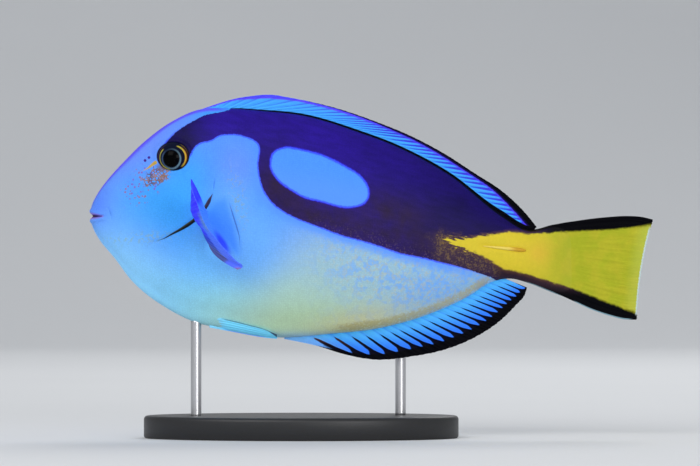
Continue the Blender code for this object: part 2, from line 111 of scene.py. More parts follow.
# Lines on the skin
RUST_LINE = table(3283, 436, 3728, 44, 4440, -133, 5151, -311, 5863, -543, 6575, -774, 7286, -952)
GILL_SLIT = table(
    2189, 400, 2144, 311, 2073, 169, 2002, 62, 1913, -44, 1806, -133, 1646, -240, 1450, -347,
    1290, -434, 1080, -490)
SLIT_ABOVE = table(2225, 721, 2205, 578, 2185, 400)
AXIL_CREASE = table(2447, 311, 2482, 169, 2536, -9, 2607, -240, 2642, -365, 2660, -667)
MOUTH_FOLD = table(311, 116, 356, 27, 365, -80)
EYE_STREAK = table(1185, 945, 1110, 893, 1040, 838, 885, 752)

# Head
EYE_AT = (0.1472, 0.1035)
EYE_RADIUS = 0.0062
EYE_SQUASH = 0.89
EYE_HALF_DEPTH = 0.0042
EYE_SINK = 0.002
EYE_TURN = 0.6
EYE_FRONT_RISE = 0.0004
EYE_FRONT_WIDTH = 0.0034
PUPIL_AT = (-0.00012, -0.00122)
PUPIL_TALL = 1.03
RING_AT = (0.1466, 0.1012)
RING_RADII = (0.0047, 0.00442)
NOSTRILS = table(1040, 1014, 970, 961)
MOUTH_HEIGHT = -0.003
MOUTH_CORNER = 0.0215
MOUTH_HALF_GAPE = 0.0009

# Fins
DORSAL_MARGIN = table(
    1960, 1868, 2280, 1978, 2590, 2064, 2870, 2109, 3190, 2133, 3590, 2073, 4260, 1927, 5150, 1628,
    5720, 1391, 6290, 1089, 6860, 721, 7290, 445, 7570, 205, 7780, -18, 7940, -222)
ANAL_MARGIN = table(
    3440, -2212, 4010, -2331, 4580, -2504, 5080, -2585, 5720, -2528, 6290, -2411, 6860, -2180,
    7290, -1895, 7570, -1619, 7730, -1432, 7770, -1300)
CAUDAL_TOP = table(7950, -330, 8230, -190, 8640, -112, 9210, -44, 9530, -27, 9800, -44, 10000, -89)
CAUDAL_BOTTOM = table(
    7950, -1225, 8230, -1380, 8500, -1504, 8920, -1699, 9210, -1797, 9490, -1865, 9710, -1872)
CAUDAL_FORK = 0.0045
PECTORAL_BASE = table(2065, 50, 2185, -294)
PECTORAL_MARGIN = table(
    1850, 615, 2100, 1870, 402, 2160, 1944, 207, 2140, 1998, 40, 2080, 2080, -165, 1970,
    2240, -395, 1800, 2445, -640, 1600, 2615, -820, 1410, 2728, -935, 1240,
    2650, -985, 1200, columns=3)
PELVIC_TOP = table(2120, -1810, 2480, -1877, 2840, -1966, 3100, -2037, 3320, -2140)
PELVIC_DROP = 0.0024
PELVIC_APART = 0.0017
FIN_WAVE = 0.0003
FIN_SINK = 0.0012
WEB_GLOW = 0.22
CAUDAL_LENGTH = 0.16
CAUDAL_RAYS = 17
PECTORAL_RAYS = 15
PELVIC_RAYS = 5
SPINE_TIP = (0.697, -0.056)
SPINE_END = (0.775, -0.064)
SPINE_SINK = 0.0004
SPINE_HALF_WIDTH = 0.0012
SPINE_HALF_HEIGHT = 0.0008

# How far the pectoral rays bow towards the snout, in metres, from the first ray at 0 to the last
PECTORAL_BOW = table(
    0, -4, 1000, 19, 2200, 37, 3500, 36, 5000, 31, 6200, 38, 7600, 46, 9000, 50, 10000, 48)

# Rays of the long fins: number, place of the root, share of the margin at the tip
DORSAL_RAYS = ((0, 0.203, 0), (3, 0.23, 0.14), (7, 0.275, 0.312), (12, 0.367, 0.469),
               (15, 0.415, 0.535), (18, 0.459, 0.6), (20, 0.515, 0.654), (22, 0.553, 0.697),
               (24, 0.585, 0.74), (26, 0.62, 0.793), (28, 0.646, 0.844), (30, 0.671, 0.894),
               (32, 0.693, 0.932), (34, 0.716, 0.967), (36, 0.741, 0.995), (37, 0.784, 1))
ANAL_RAYS = ((0, 0.35, 0), (1, 0.381, 0.265), (2, 0.418, 0.318), (3, 0.447, 0.385),
             (4, 0.472, 0.431), (5, 0.495, 0.487), (6, 0.513, 0.541), (7, 0.528, 0.583),
             (9, 0.565, 0.664), (11, 0.596, 0.739), (13, 0.624, 0.805), (16, 0.664, 0.882),
             (18, 0.685, 0.923), (20, 0.704, 0.964), (22, 0.728, 1))

# Width in millimetres of the dark margins and of the line along the back, at shares of the length
DORSAL_DARK = table(
    2000, -4000, 3400, -2000, 4000, 1500, 5000, 5500, 5900, 10000, 6400, 12000, 6900, 12500,
    7150, 16000, 7350, 21500, 7550, 25000, 7950, 23000)
ANAL_DARK = table(
    3440, -6000, 3900, -2500, 4150, 3000, 4500, 9500, 5080, 19000, 5720, 28000, 6400, 32000,
    7000, 32000, 7450, 27000, 7770, 14000)
BACK_LINE = table(
    2350, -2000, 2600, 1200, 3000, 2600, 4500, 4500, 6200, 5800, 6900, 8200, 7400, 12500,
    7700, 11500, 7900, 9500)

# Stand
BASE_EDGE = 0.0014


def linear(red, green, blue):
    """A colour given as 0 to 255 on a screen, as linear light."""
    lit = np.array((red, green, blue)) / 255
    return np.where(lit <= 0.04045, lit / 12.92, ((lit + 0.055) / 1.055) ** 2.4)


# Colours
SKY = linear(76, 148, 251)
HEAD_VIOLET = linear(116, 144, 253)
RIDGE_VIOLET = linear(96, 76, 255)
CHEEK_AZURE = linear(58, 162, 251)
# Deeper blue behind the pectoral base, partly painted shade in the fin's pit.
AXIL_SHADED_BLUE = linear(44, 130, 252)
CHIN = linear(134, 198, 252)
MID_BLUE = linear(112, 184, 250)
BELLY_AQUA = linear(140, 214, 236)
BELLY_OLIVE = linear(180, 212, 178)
FLANK_PALE = linear(158, 196, 212)
BELLY_TAN = linear(206, 204, 156)
FLANK_BLUE = linear(96, 164, 250)
INDIGO = linear(40, 19, 140)
INDIGO_DARK = linear(16, 8, 60)
RUST = linear(43, 27, 56)
RIM_BLUE = linear(52, 44, 250)
YELLOW_SKIN = linear(214, 194, 50)
YELLOW_FIN = linear(164, 170, 40)
BLACK = linear(3, 3, 8)
STALK_BROWN = linear(50, 32, 44)
AZURE = linear(66, 156, 252)
FIN_VIOLET = linear(80, 62, 246)


def smooth(knots, x):
    """The smooth curve through the knots, read at x: cubic pieces with the knots' mean slopes."""
    points = np.array(knots, float)
    xs = points[:, 0]
    ys = points[:, 1]
    slopes = np.gradient(ys, xs)
    x = np.clip(x, xs[0], xs[-1])
    i = np.clip(np.searchsorted(xs, x, side="right") - 1, 0, len(xs) - 2)
    step = xs[i + 1] - xs[i]
    t = (x - xs[i]) / step
    values = ys[i] * (1 + 2 * t) * (1 - t) ** 2 + ys[i + 1] * t * t * (3 - 2 * t)
    return values + step * t * (1 - t) * (slopes[i] * (1 - t) - slopes[i + 1] * t)


def blunt(knots, a):
    """A body outline at the share a, read on its square root so that the snout is round."""
    rooted = [(math.sqrt(knot[0]), knot[1]) for knot in knots]
    return smooth(rooted, np.sqrt(np.maximum(a, 0)))


def along(knots, t):
    """Points at the share t of the way along a line of knots with any number of coordinates."""
    points = np.array(knots, float)
    steps = np.linalg.norm(np.diff(points, axis=0), axis=1)
    way = np.concatenate([[0], np.cumsum(steps)]) / steps.sum()
    return [smooth(np.column_stack([way, column]), t) for column in points.T]


def ease(x, low, high):
    """0 below low, 1 above high and a smooth step between them."""
    t = np.clip((x - low) / (high - low), 0, 1)
    return t * t * (3 - 2 * t)


def hump(x, middle, width):
    """A smooth hump of height 1 round the middle."""
    return np.exp(-((x - middle) / width) ** 2)


def circle(count):
    """Angles once round, evenly spaced, as the columns of a grid."""
    return (2 * np.pi * np.arange(count) / count)[None, :]


def place(a, y, h):
    """Points in metres from shares of the length, with y already in metres."""
    a, y, h = np.broadcast_arrays(a, y, h)
    return np.stack([(a - 0.5) * LENGTH, y, SNOUT_HEIGHT + h * LENGTH], axis=-1)


def seen(points):
    """Shares of the length at which points appear from the camera's distance, on either flank."""
    spread = VIEW_DISTANCE / (VIEW_DISTANCE - np.abs(points[..., 1]))
    a = AIM[0] + (points[..., 0] / LENGTH + 0.5 - AIM[0]) * spread
    h = AIM[1] + ((points[..., 2] - SNOUT_HEIGHT) / LENGTH - AIM[1]) * spread
    return a, h


def section(a):
    """Middle height, half depth and half width of the body at the share a."""
    top = blunt(BACK, a)
    bottom = blunt(BELLY, a)
    return (top + bottom) / 2, (top - bottom) / 2, blunt(HALF_WIDTH, a)


def flank_y(a, h):
    """How far the flank stands from the middle plane at a place seen from the side, in metres."""
    middle, depth, width = section(a)
    level = np.clip((h - middle) / depth, -1, 1)
    power = np.where(level > 0, BACK_SHARPNESS, BELLY_SHARPNESS)
    return width * (1 - level * level) ** (power / 2) * LENGTH


def to_pieces(a, h, line):
    """Distance in metres to a line of straight pieces, share of the way to there, and side."""
    best = np.full(np.shape(a), np.inf)
    way = np.zeros(np.shape(a))
    hand = np.ones(np.shape(a))
    for i, (start, end) in enumerate(zip(line[:-1], line[1:])):
        da, dh = end - start
        out_a = a - start[0]
        out_h = h - start[1]
        share = np.clip((out_a * da + out_h * dh) / (da * da + dh * dh), 0, 1)
        far = np.hypot(out_a - share * da, out_h - share * dh)
        nearer = far < best
        best = np.where(nearer, far, best)
        way = np.where(nearer, (i + share) / (len(line) - 1), way)
        hand = np.where(nearer, np.sign(da * out_h - dh * out_a), hand)
    return best * LENGTH, way, hand


def to_line(a, h, knots):
    """Distance in metres to a smooth line, share of the way along it to there, and side."""
    return to_pieces(a, h, np.stack(along(knots, np.linspace(0, 1, 40)), axis=-1))


def inside(a, h, knots):
    """Distance in metres to a closed smooth outline, positive inside it."""
    p0, p1, p2, p3 = (np.roll(knots, 1 - k, axis=0)[:, None] for k in range(4))
    t = np.linspace(0, 1, 5)[:-1, None]
    outline = 0.5 * (2 * p1 + (p2 - p0) * t + (2 * p0 - 5 * p1 + 4 * p2 - p3) * t ** 2
                     + (3 * p1 - p0 - 3 * p2 + p3) * t ** 3)
    outline = outline.reshape(-1, 2)
    ring = np.concatenate([outline, outline[:1]])
    far, _, _ = to_pieces(a, h, ring)
    crossings = np.zeros(np.shape(a), int)
    for start, end in zip(ring[:-1], ring[1:]):
        da, dh = end - start
        spans = (start[1] > h) != (end[1] > h)
        crossings += spans & (a < start[0] + (h - start[1]) * da / (dh or 1))
    return np.where(crossings % 2 == 1, far, -far)


def normals(points, closed):
    """Unit normals of a grid of points; closed means that the last column meets the first."""
    down = np.gradient(points, axis=0)
    if closed:
        across = (np.roll(points, -1, axis=1) - np.roll(points, 1, axis=1)) / 2
    else:
        across = np.gradient(points, axis=1)
    normal = np.cross(across, down)
    return normal / np.maximum(np.linalg.norm(normal, axis=-1, keepdims=True), 1e-12)


def grid_quads(rows, columns, closed):
    """Corner numbers of a grid's faces, row by row."""
    row = np.arange(rows - 1)[:, None]
    column = np.arange(columns if closed else columns - 1)[None, :]
    after = (column + 1) % columns
    corners = [row * columns + column, row * columns + after,
               (row + 1) * columns + after, (row + 1) * columns + column]
    return np.stack(corners, axis=-1).reshape(-1, 4)


def add_piece(name, points, faces, fields, material, stands_for):
    """A shown piece made from arrays, with its grids of values, riding on the one body."""
    mesh = bpy.data.meshes.new(name)
    mesh.from_pydata(points.reshape(-1, 3).tolist(), [], faces)
    mesh.update()
    for field, values in fields.items():
        kind, part = ("FLOAT_VECTOR", "vector") if values.ndim == 3 else ("FLOAT", "value")
        layer = mesh.attributes.new(field, kind, "POINT")
        layer.data.foreach_set(part, np.asarray(values, np.float32).reshape(-1))
    mesh.shade_smooth()
    mesh.materials.append(material)
    piece = bpy.data.objects.new(name, mesh)
    bpy.context.scene.collection.objects.link(piece)
    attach(piece, "root")
    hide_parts(*stands_for)


def outwards(points, quads):
    """Whether the faces of a closed shape look outwards, from the sign of its volume."""
    corner = (points.reshape(-1, 3) - points.reshape(-1, 3).mean(axis=0))[quads]
    turned = np.cross(corner[:, 1], corner[:, 2]) + np.cross(corner[:, 2], corner[:, 3])
    return np.sum(corner[:, 0] * turned) > 0


def closed_tube(points):
    """Faces of rings of points, with the last column joined to the first and both ends closed."""
    rows, columns = points.shape[:2]
    quads = grid_quads(rows, columns, True)
    near = np.arange(columns)[::-1]
    far = np.arange(columns) + (rows - 1) * columns
    if not outwards(points, quads):
        quads, near, far = quads[:, ::-1], near[::-1], far[::-1]
    return quads.tolist() + [near.tolist(), far.tolist()]


def made(tree, kind, key, inputs, **settings):
    """One output of a new node, with its settings made and its inputs linked or set."""
    node = tree.nodes.new(kind)
    for name, value in settings.items():
        setattr(node, name, value)
    for name, value in inputs.items():
        plug(tree, node.inputs[name], value)
    return Value(tree, node.outputs[key])


class Value:
    """A socket of a node tree that can be used in sums; plain numbers and colours mix in."""

    def __init__(self, tree, socket):
        self.tree = tree
        self.socket = socket

    def math(self, operation, other=0):
        """One Math node on this value and another."""
        return made(self.tree, "ShaderNodeMath", 0, {0: self, 1: other}, operation=operation)

    def __add__(self, other):
        return self.math("ADD", other)

    def __sub__(self, other):
        return self.math("SUBTRACT", other)

    def __rsub__(self, other):
        return self * -1 + other

    def __mul__(self, other):
        return self.math("MULTIPLY", other)

    def __truediv__(self, other):
        return self.math("DIVIDE", other)

    def __abs__(self):
        return self.math("ABSOLUTE")

    __radd__ = __add__
    __rmul__ = __mul__

    def step(self, low, high):
        """A smooth step of this value, 0 at low and 1 at high."""
        inputs = {0: self, 1: low, 2: high, 3: 0, 4: 1}
        return made(self.tree, "ShaderNodeMapRange", 0, inputs, interpolation_type="SMOOTHSTEP")

    def band(self, middle, width, soft):
        """1 within a width of the middle and 0 a soft edge further out."""
        return 1 - abs(self - middle).step(width - soft, width + soft)

    def mix(self, none, full):
        """The colour none where this value is 0 and full where it is 1."""
        inputs = {0: self, 6: none, 7: full}
        return made(self.tree, "ShaderNodeMix", 2, inputs, data_type="RGBA")

    def tint(self, factor):
        """This colour multiplied by a number or a value."""
        inputs = {0: self, "Scale": factor}
        return made(self.tree, "ShaderNodeVectorMath", 0, inputs, operation="SCALE")


def plug(tree, socket, value):
    """Links a Value to a socket, or sets the socket to a number, a vector or a colour.

    A colour is linear light as an array, or else a tuple of 0 to 255 as on a screen.
    """
    if isinstance(value, Value):
        tree.links.new(value.socket, socket)
    elif np.ndim(value) == 0:
        socket.default_value = float(value)
    elif len(socket.default_value) == 4:
        lit = linear(*value) if isinstance(value, tuple) else value
        socket.default_value = (*lit.tolist(), 1)
    else:
        socket.default_value = value


def layered(colour, *layers):
    """A colour under layers, each given as its weight and the colour that it lays on."""
    for weight, over in layers:
        colour = weight.mix(colour, over)
    return colour


class Finish:
    """A material on one Principled shader, with the sources its colours are worked out from.

    finish["name"] is a number and vector("name") a vector stored on the piece's points.
    """

    def __init__(self, name, **constants):
        self.material = bpy.data.materials.new(name)
        self.material.use_nodes = True
        self.tree = self.material.node_tree
        self.shader = self.tree.nodes["Principled BSDF"]
        for key, value in constants.items():
            self.set(key.replace("_", " "), value)

    def set(self, key, value):
        """Links or sets one input of the shader."""
        plug(self.tree, self.shader.inputs[key], value)

    def __getitem__(self, name):
        return made(self.tree, "ShaderNodeAttribute", "Fac", {}, attribute_name=name)

    def vector(self, name):
        return made(self.tree, "ShaderNodeAttribute", "Vector", {}, attribute_name=name)

    def coordinates(self, stretch=(1, 1, 1)):
        """The piece's own coordinates, stretched along each axis."""
        inputs = {0: made(self.tree, "ShaderNodeTexCoord", "Object", {}), 1: stretch}
        return made(self.tree, "ShaderNodeVectorMath", 0, inputs, operation="MULTIPLY")

    def noise(self, size, detail=2, where=None, seed=0):
        """Noise from 0 to 1, this size, moved aside by the seed."""
        inputs = {0: where or self.coordinates(), 1: (seed, seed, seed)}
        moved = made(self.tree, "ShaderNodeVectorMath", 0, inputs, operation="ADD")
        inputs = {"Vector": moved, "Scale": 1 / size, "Detail": detail}
        return made(self.tree, "ShaderNodeTexNoise", 0, inputs)

    def cells(self, size, random, where=None, feature="F1"):
        """Distance to the nearest middle, or edge, of cells of this size."""
        inputs = {"Vector": where or self.coordinates(), "Scale": 1 / size, "Randomness": random}
        return made(self.tree, "ShaderNodeTexVoronoi", "Distance", inputs, feature=feature)

    def bump(self, height, distance, strength):
        """Raises the surface by the height value, in metres for each unit."""
        inputs = {"Height": height, "Distance": distance, "Strength": strength}
        self.set("Normal", made(self.tree, "ShaderNodeBump", "Normal", inputs))


def skin_surface():
    """The bare body: rings of turned half ellipses, drawn in above by a sharper back.

    At the share a of the length and the turn angle round the body, height is the middle of the
    back and belly outlines plus the half depth times the cosine, and y is the half width times
    the sine raised to the sharpness.
    """
    rows = np.linspace(0, 1, SKIN_ROWS)
    a = (0.0006 + (SKIN_END - 0.0006) * rows ** 1.75)[:, None]
    turn = circle(SKIN_COLUMNS) + np.pi / SKIN_COLUMNS
    middle, depth, width = section(a)
    level = np.cos(turn)
    power = np.where(level > 0, BACK_SHARPNESS, BELLY_SHARPNESS)
    side = -np.sign(np.sin(turn)) * np.abs(np.sin(turn)) ** power
    points = place(a, side * width * LENGTH, middle + depth * level)
    return points, np.broadcast_to(a, points.shape[:2]), np.broadcast_to(level, points.shape[:2])


def mouth_gape(a):
    """Half the height of the open mouth at the share a, in metres, closing at its corner."""
    return MOUTH_HALF_GAPE * np.clip(1 - a / (MOUTH_CORNER * 0.92), 0, 1) ** 0.8


def skin_relief(a, h):
    """How far the modelled folds stand out from the bare body, in metres."""
    from_eye = np.hypot(a - EYE_AT[0], (h - EYE_AT[1]) / EYE_SQUASH) * LENGTH
    relief = 0.00045 * hump(from_eye, 0.0063, 0.0008)
    relief -= 0.0028 * (1 - ease(from_eye, 0.0046, 0.0058))
    for at in NOSTRILS:
        from_nostril = np.hypot(a - at[0], h - at[1]) * LENGTH
        relief += 0.00016 * hump(from_nostril, 0.0009, 0.0004)
        relief -= 0.0005 * hump(from_nostril, 0, 0.00045)
    slit, way, _ = to_line(a, h, GILL_SLIT)
    slit_a, slit_h = along(GILL_SLIT, way)
    ahead = (slit_a - a) + (h - slit_h) > 0
    open_part = ease(way, 0, 0.08) * (1 - 0.5 * ease(way, 0.6, 1))
    relief += np.where(ahead, 0.0006 * np.exp(-slit / 0.003), 0) * open_part
    relief -= 0.0007 * hump(slit, 0, 0.0005) * open_part
    for knots, depth, width in ((SLIT_ABOVE, 0.00015, 0.0005), (AXIL_CREASE, 0.0002, 0.0005),
                                (MOUTH_FOLD, 0.00022, 0.0005),
                                ((SPINE_TIP, SPINE_END), 0.00045, 0.0009)):
        relief -= depth * hump(to_line(a, h, knots)[0], 0, width)
    gape = mouth_gape(a)
    from_mouth = np.abs(h - MOUTH_HEIGHT) * LENGTH
    near_lips = 1 - ease(a, 0.018, 0.034)
    relief += 0.00045 * hump(from_mouth - gape, 0.0009, 0.0007) * near_lips
    depth = np.clip(1 - (from_mouth / np.maximum(gape, 1e-5)) ** 2, 0, 1)
    wall = blunt(HALF_WIDTH, a) * LENGTH * (0.8 - 0.35 * ease(a, 0.004, 0.012))
    relief -= wall * np.sqrt(depth) * (a < MOUTH_CORNER)
    relief -= 0.0003 * hump(from_mouth, 0, 0.0004) * (1 - ease(a, 0.021, 0.025))
    return relief


def patch(a, h, at, size, lean=0):
    """A soft patch of weight 1 at its middle, with half sizes in shares, leaning by an angle."""
    da = a - at[0]
    dh = h - at[1]
    u = (da * math.cos(lean) + dh * math.sin(lean)) / size[0]
    v = (dh * math.cos(lean) - da * math.sin(lean)) / size[1]
    return np.exp(-(u * u + v * v))


def blend(base, colour, weight):
    """One colour laid over another with a weight at each point."""
    return base + (colour - base) * np.clip(weight, 0, 1)[..., None]


def ground_colour(a, h, level):
    """The skin's ground colour without its sharp markings, built up from soft patches, with painted
    light that lifts the lower belly and the flank under the pectoral fin.
    """
    belly = ease(-level, 0.05, 0.75)
    rear = ease(a, 0.25, 0.42) * ease(-level, -0.25, 0.35)
    ground = np.broadcast_to(SKY, (*a.shape, 3))
    for colour, weight, *shape in (
            (HEAD_VIOLET, 0.9, (0.06, 0.11), (0.16, 0.07), 0.7),
            (HEAD_VIOLET, 0.5, (0.26, 0.08), (0.04, 0.06)),
            (CHEEK_AZURE, 1, (0.12, 0.02), (0.085, 0.06)),
            (CHEEK_AZURE, 0.7, (0.17, 0.07), (0.035, 0.05)),
            (CHIN, 1.1, (0.055, -0.11), (0.14, 0.08), -0.7),
            (BELLY_AQUA, belly, (0.24, -0.17), (0.16, 0.12)),
            (FLANK_PALE, 0.95 * rear, (0, 0), (np.inf, np.inf)),
            (BELLY_OLIVE, 1.1, (0.38, -0.195), (0.16, 0.055)),
            (BELLY_OLIVE, 0.5, (0.35, -0.14), (0.07, 0.05)),
            (MID_BLUE, 0.9, (0.275, -0.045), (0.06, 0.07)),
            (MID_BLUE, 0.7, (0.245, 0.01), (0.035, 0.045)),
            (BELLY_TAN, 0.75, (0.48, -0.192), (0.1, 0.028), 0.2),
            (FLANK_BLUE, 0.45, (0.62, -0.13), (0.08, 0.04), 0.3),
            (linear(88, 134, 252), 0.8, (0.01, 0.02), (0.03, 0.04)),
            # painted light that lifts the pectoral fin's shade on the flank below it
            (linear(108, 190, 255), 0.7, (0.195, -0.07), (0.04, 0.05)),
            (linear(58, 174, 255), 0.6, (0.16, 0), (0.04, 0.05)),
            # pale strip along the lower belly edge, made paler as painted light where the body
            # faces down
            (linear(160, 214, 255), 0.9, (0.37, -0.222), (0.06, 0.011))):
        ground = blend(ground, colour, weight * patch(a, h, *shape))
    # painted light: the underside is lightened where it faces down
    ground = ground * (1 + 0.3 * ease(-level, 0.8, 1)[..., None])
    ground = blend(ground, AZURE, ease(level, 0.8, 0.95) * ease(a, 0.17, 0.22))
    crest = ease(level, 0.88 + 0.08 * ease(a, 0.06, 0.16), 0.985) * (1 - ease(a, 0.215, 0.25))
    return blend(ground, RIDGE_VIOLET, 0.9 * crest)


def marking_fields(points, level):
    """The skin's attributes for its colours: distances in millimetres to the markings' edges."""
    a, h = seen(points)
    fields = {name: inside(a, h, knots) * 1000 for name, knots in
              (("mask", MASK), ("oval", OVAL), ("yellow", YELLOW), ("speckled", SPECKLED))}
    rust_line, _, _ = to_line(a, h, RUST_LINE)
    fields["rust"] = np.maximum(hump(rust_line, 0, 0.0085),
                                1.1 * patch(a, h, (0.54, 0.002), (0.075, 0.034), -0.4))
    fields["back"] = ease(a, 0.66, 1)
    fields["ground"] = ground_colour(a, h, level)
    return fields


def blackened(a, level):
    """How far the stalk's brown has turned to black: earliest along its lower edge."""
    return np.where(level > 0, ease(a, 0.765, 0.83), ease(a - 0.22 * (level + 0.85), 0.79, 0.87))


def head_fields(points):
    """The attributes of the face: eye, gill slit, creases, mouth and freckles.

    Each drawn line has its signed distance and its tapered half width, in millimetres.
    """
    a, h = seen(points)
    from_mouth = np.abs(h - MOUTH_HEIGHT) * LENGTH
    reach = np.where(a < MOUTH_CORNER, mouth_gape(a), (MOUTH_CORNER - a) * LENGTH)
    fields = {
        "gape": (reach - from_mouth) * 1000,
        "nostril": np.maximum(*[0.5 - np.hypot(a - at[0], h - at[1]) * MM
                                for at in NOSTRILS]),
        "eye": np.hypot(a - EYE_AT[0], (h - EYE_AT[1]) / EYE_SQUASH) * MM,
        "dusted": np.maximum(patch(a, h, (0.262, 0.03), (0.014, 0.05), 0.2),
                             0.8 * patch(a, h, (0.09, -0.042), (0.06, 0.01), 0.1)),
        # deeper blue behind the pectoral base, partly painted shade in the fin's pit
        "axil": ease(inside(a, h, AXIL), -0.0015, 0.0025),
        "slit_top": ease(h, 0.008, 0.02),
    }
    # The last patch is a painted shadow of the pectoral fin on the flank behind it.
    for name, *shape in (("net", (0.117, 0.068), (0.03, 0.019), 0.5),
                         ("smudge", (0.127, 0.083), (0.01, 0.01)),
                         ("freckled", (0.092, 0.052), (0.04, 0.027), 0.7),
                         ("shaded", (0.2345, -0.05), (0.026, 0.007), -0.98)):
        fields[name] = patch(a, h, *shape)
    for name, knots, half_width, (start, end) in (
            ("slit", GILL_SLIT, 0.64, (0.12, 0.48)), ("crease", AXIL_CREASE, 0.26, (0.3, 0.4)),
            ("above", SLIT_ABOVE, 0.22, (0.5, 0.3)), ("fold", MOUTH_FOLD, 0.22, (0.4, 0.4)),
            ("streak", EYE_STREAK, 0.62, (0.02, 0.85))):
        far, way, hand = to_line(a, h, knots)
        full = np.clip(np.minimum(way / start, (1 - way) / end), 0, 1)
        fields[name + "_off"] = far * hand * 1000
        fields[name + "_wide"] = half_width * full - 0.12 * (1 - full)
    return fields


def drawn_line(skin, name, soft):
    """1 on a drawn line and 0 beside it, from its distance and its tapered width."""
    return (skin[name + "_wide"] - abs(skin[name + "_off"])).step(-soft, soft)


def head_colour(skin, fine, grain, drift, speckle, outside):
    """The skin below the mask: mottled flank, blue armpit partly painted as shade in the fin's pit,
    a painted shadow of the pectoral fin beside it, freckles and the net by the eye.
    """
    mottled = skin["mottled"]
    blue = (skin.noise(0.0022, 1.5, seed=7) + 0.55 * drift).step(0.46, 0.62)
    tan = (skin.noise(0.001, seed=3) + 0.35 * drift).step(0.47, 0.68)
    fringe = skin["fringe"] * (skin.noise(0.0008, seed=8) + 0.5 * drift)
    bright = outside.step(4.2, 0.8) * skin["level"].step(0.6, 0.3)
    dusted = skin["dusted"] * skin.noise(0.0011, seed=11).step(0.48, 0.64)
    dots = skin.cells(0.0013, 1) + (fine - 0.5) * 0.1
    chosen = skin.noise(0.0024, 1, seed=5).step(0.34, 0.44)
    freckled = skin["freckled"].step(0.1, 0.5) * chosen * dots.step(0.38, 0.24)
    freckle = drift.step(-0.1, 0.1).mix((124, 84, 190), (150, 96, 120))
    web = skin.cells(0.0011, 0.9, feature="DISTANCE_TO_EDGE").step(0.22, 0.08)
    patchy = (skin["net"] + 0.7 * drift + (fine - 0.5) * 0.8).step(0.4, 0.62)
    strand = (grain - 0.5 + drift).step(-0.15, 0.15).mix((84, 72, 98), (162, 116, 70))
    return layered(
        skin.vector("ground").tint(1 + speckle + 0.12 * drift),
        (mottled * blue * 0.5, FLANK_BLUE),
        (mottled * tan * 0.38, (190, 186, 146)),
        (fringe.step(0.1, 0.5) * 0.68, (180, 170, 108)),
        (bright * skin["rimmed"] * 0.8, (88, 150, 254)),
        # deeper blue behind the pectoral base, partly painted shade in the fin's pit
        (skin["axil"] * 0.6, AXIL_SHADED_BLUE),
        # painted shadow of the pectoral fin on the flank beside it
        (skin["shaded"].step(0.1, 0.9) * 0.85, (46, 52, 252)),
        (dusted * 0.55, (146, 168, 108)),
        (freckled * 0.75, freckle),
        (web * patchy * 0.92, strand),
        (skin["smudge"].step(0.25, 0.85) * 0.65, (112, 90, 90)),
        (drawn_line(skin, "streak", 0.18), (190, 158, 72)))


def mask_colour(skin, fine, drift, speckle):
    """Indigo, darker behind, rusty and speckled below, with a black line along the back."""
    dark = skin.noise(0.02, seed=4).step(0.35, 0.75)
    gloom = skin["gloom"] + 0.35 * skin["back"] + 0.25 * (dark - 0.5)
    streaky = skin.noise(0.0016, 3, skin.vector("flow")) - 0.5
    zone = (skin["speckled"] + drift * 5).step(-4, 1.6)
    specks = skin.noise(0.00062, seed=9) + (fine - 0.5) * 0.5 + zone * 0.06 + drift * 0.6
    dust = skin.noise(0.0006, 1, seed=13).step(0.56, 0.72) * skin["dusty"]
    indigo = layered(
        INDIGO,
        (gloom, INDIGO_DARK),
        (skin["armed"] * 0.75, (30, 16, 70)),
        (skin["rust"] * (0.75 + 0.8 * drift), RUST))
    return layered(
        indigo.tint(1 + 1.4 * speckle + 0.7 * streaky),
        (zone * (0.85 + 0.8 * drift), (64, 46, 62)),
        (specks.step(0.5, 0.74) * zone * 0.44, (138, 112, 64)),
        (dust * 0.45, (112, 88, 92)),
        (skin["crest"].step(-0.2, 0.2), BLACK))


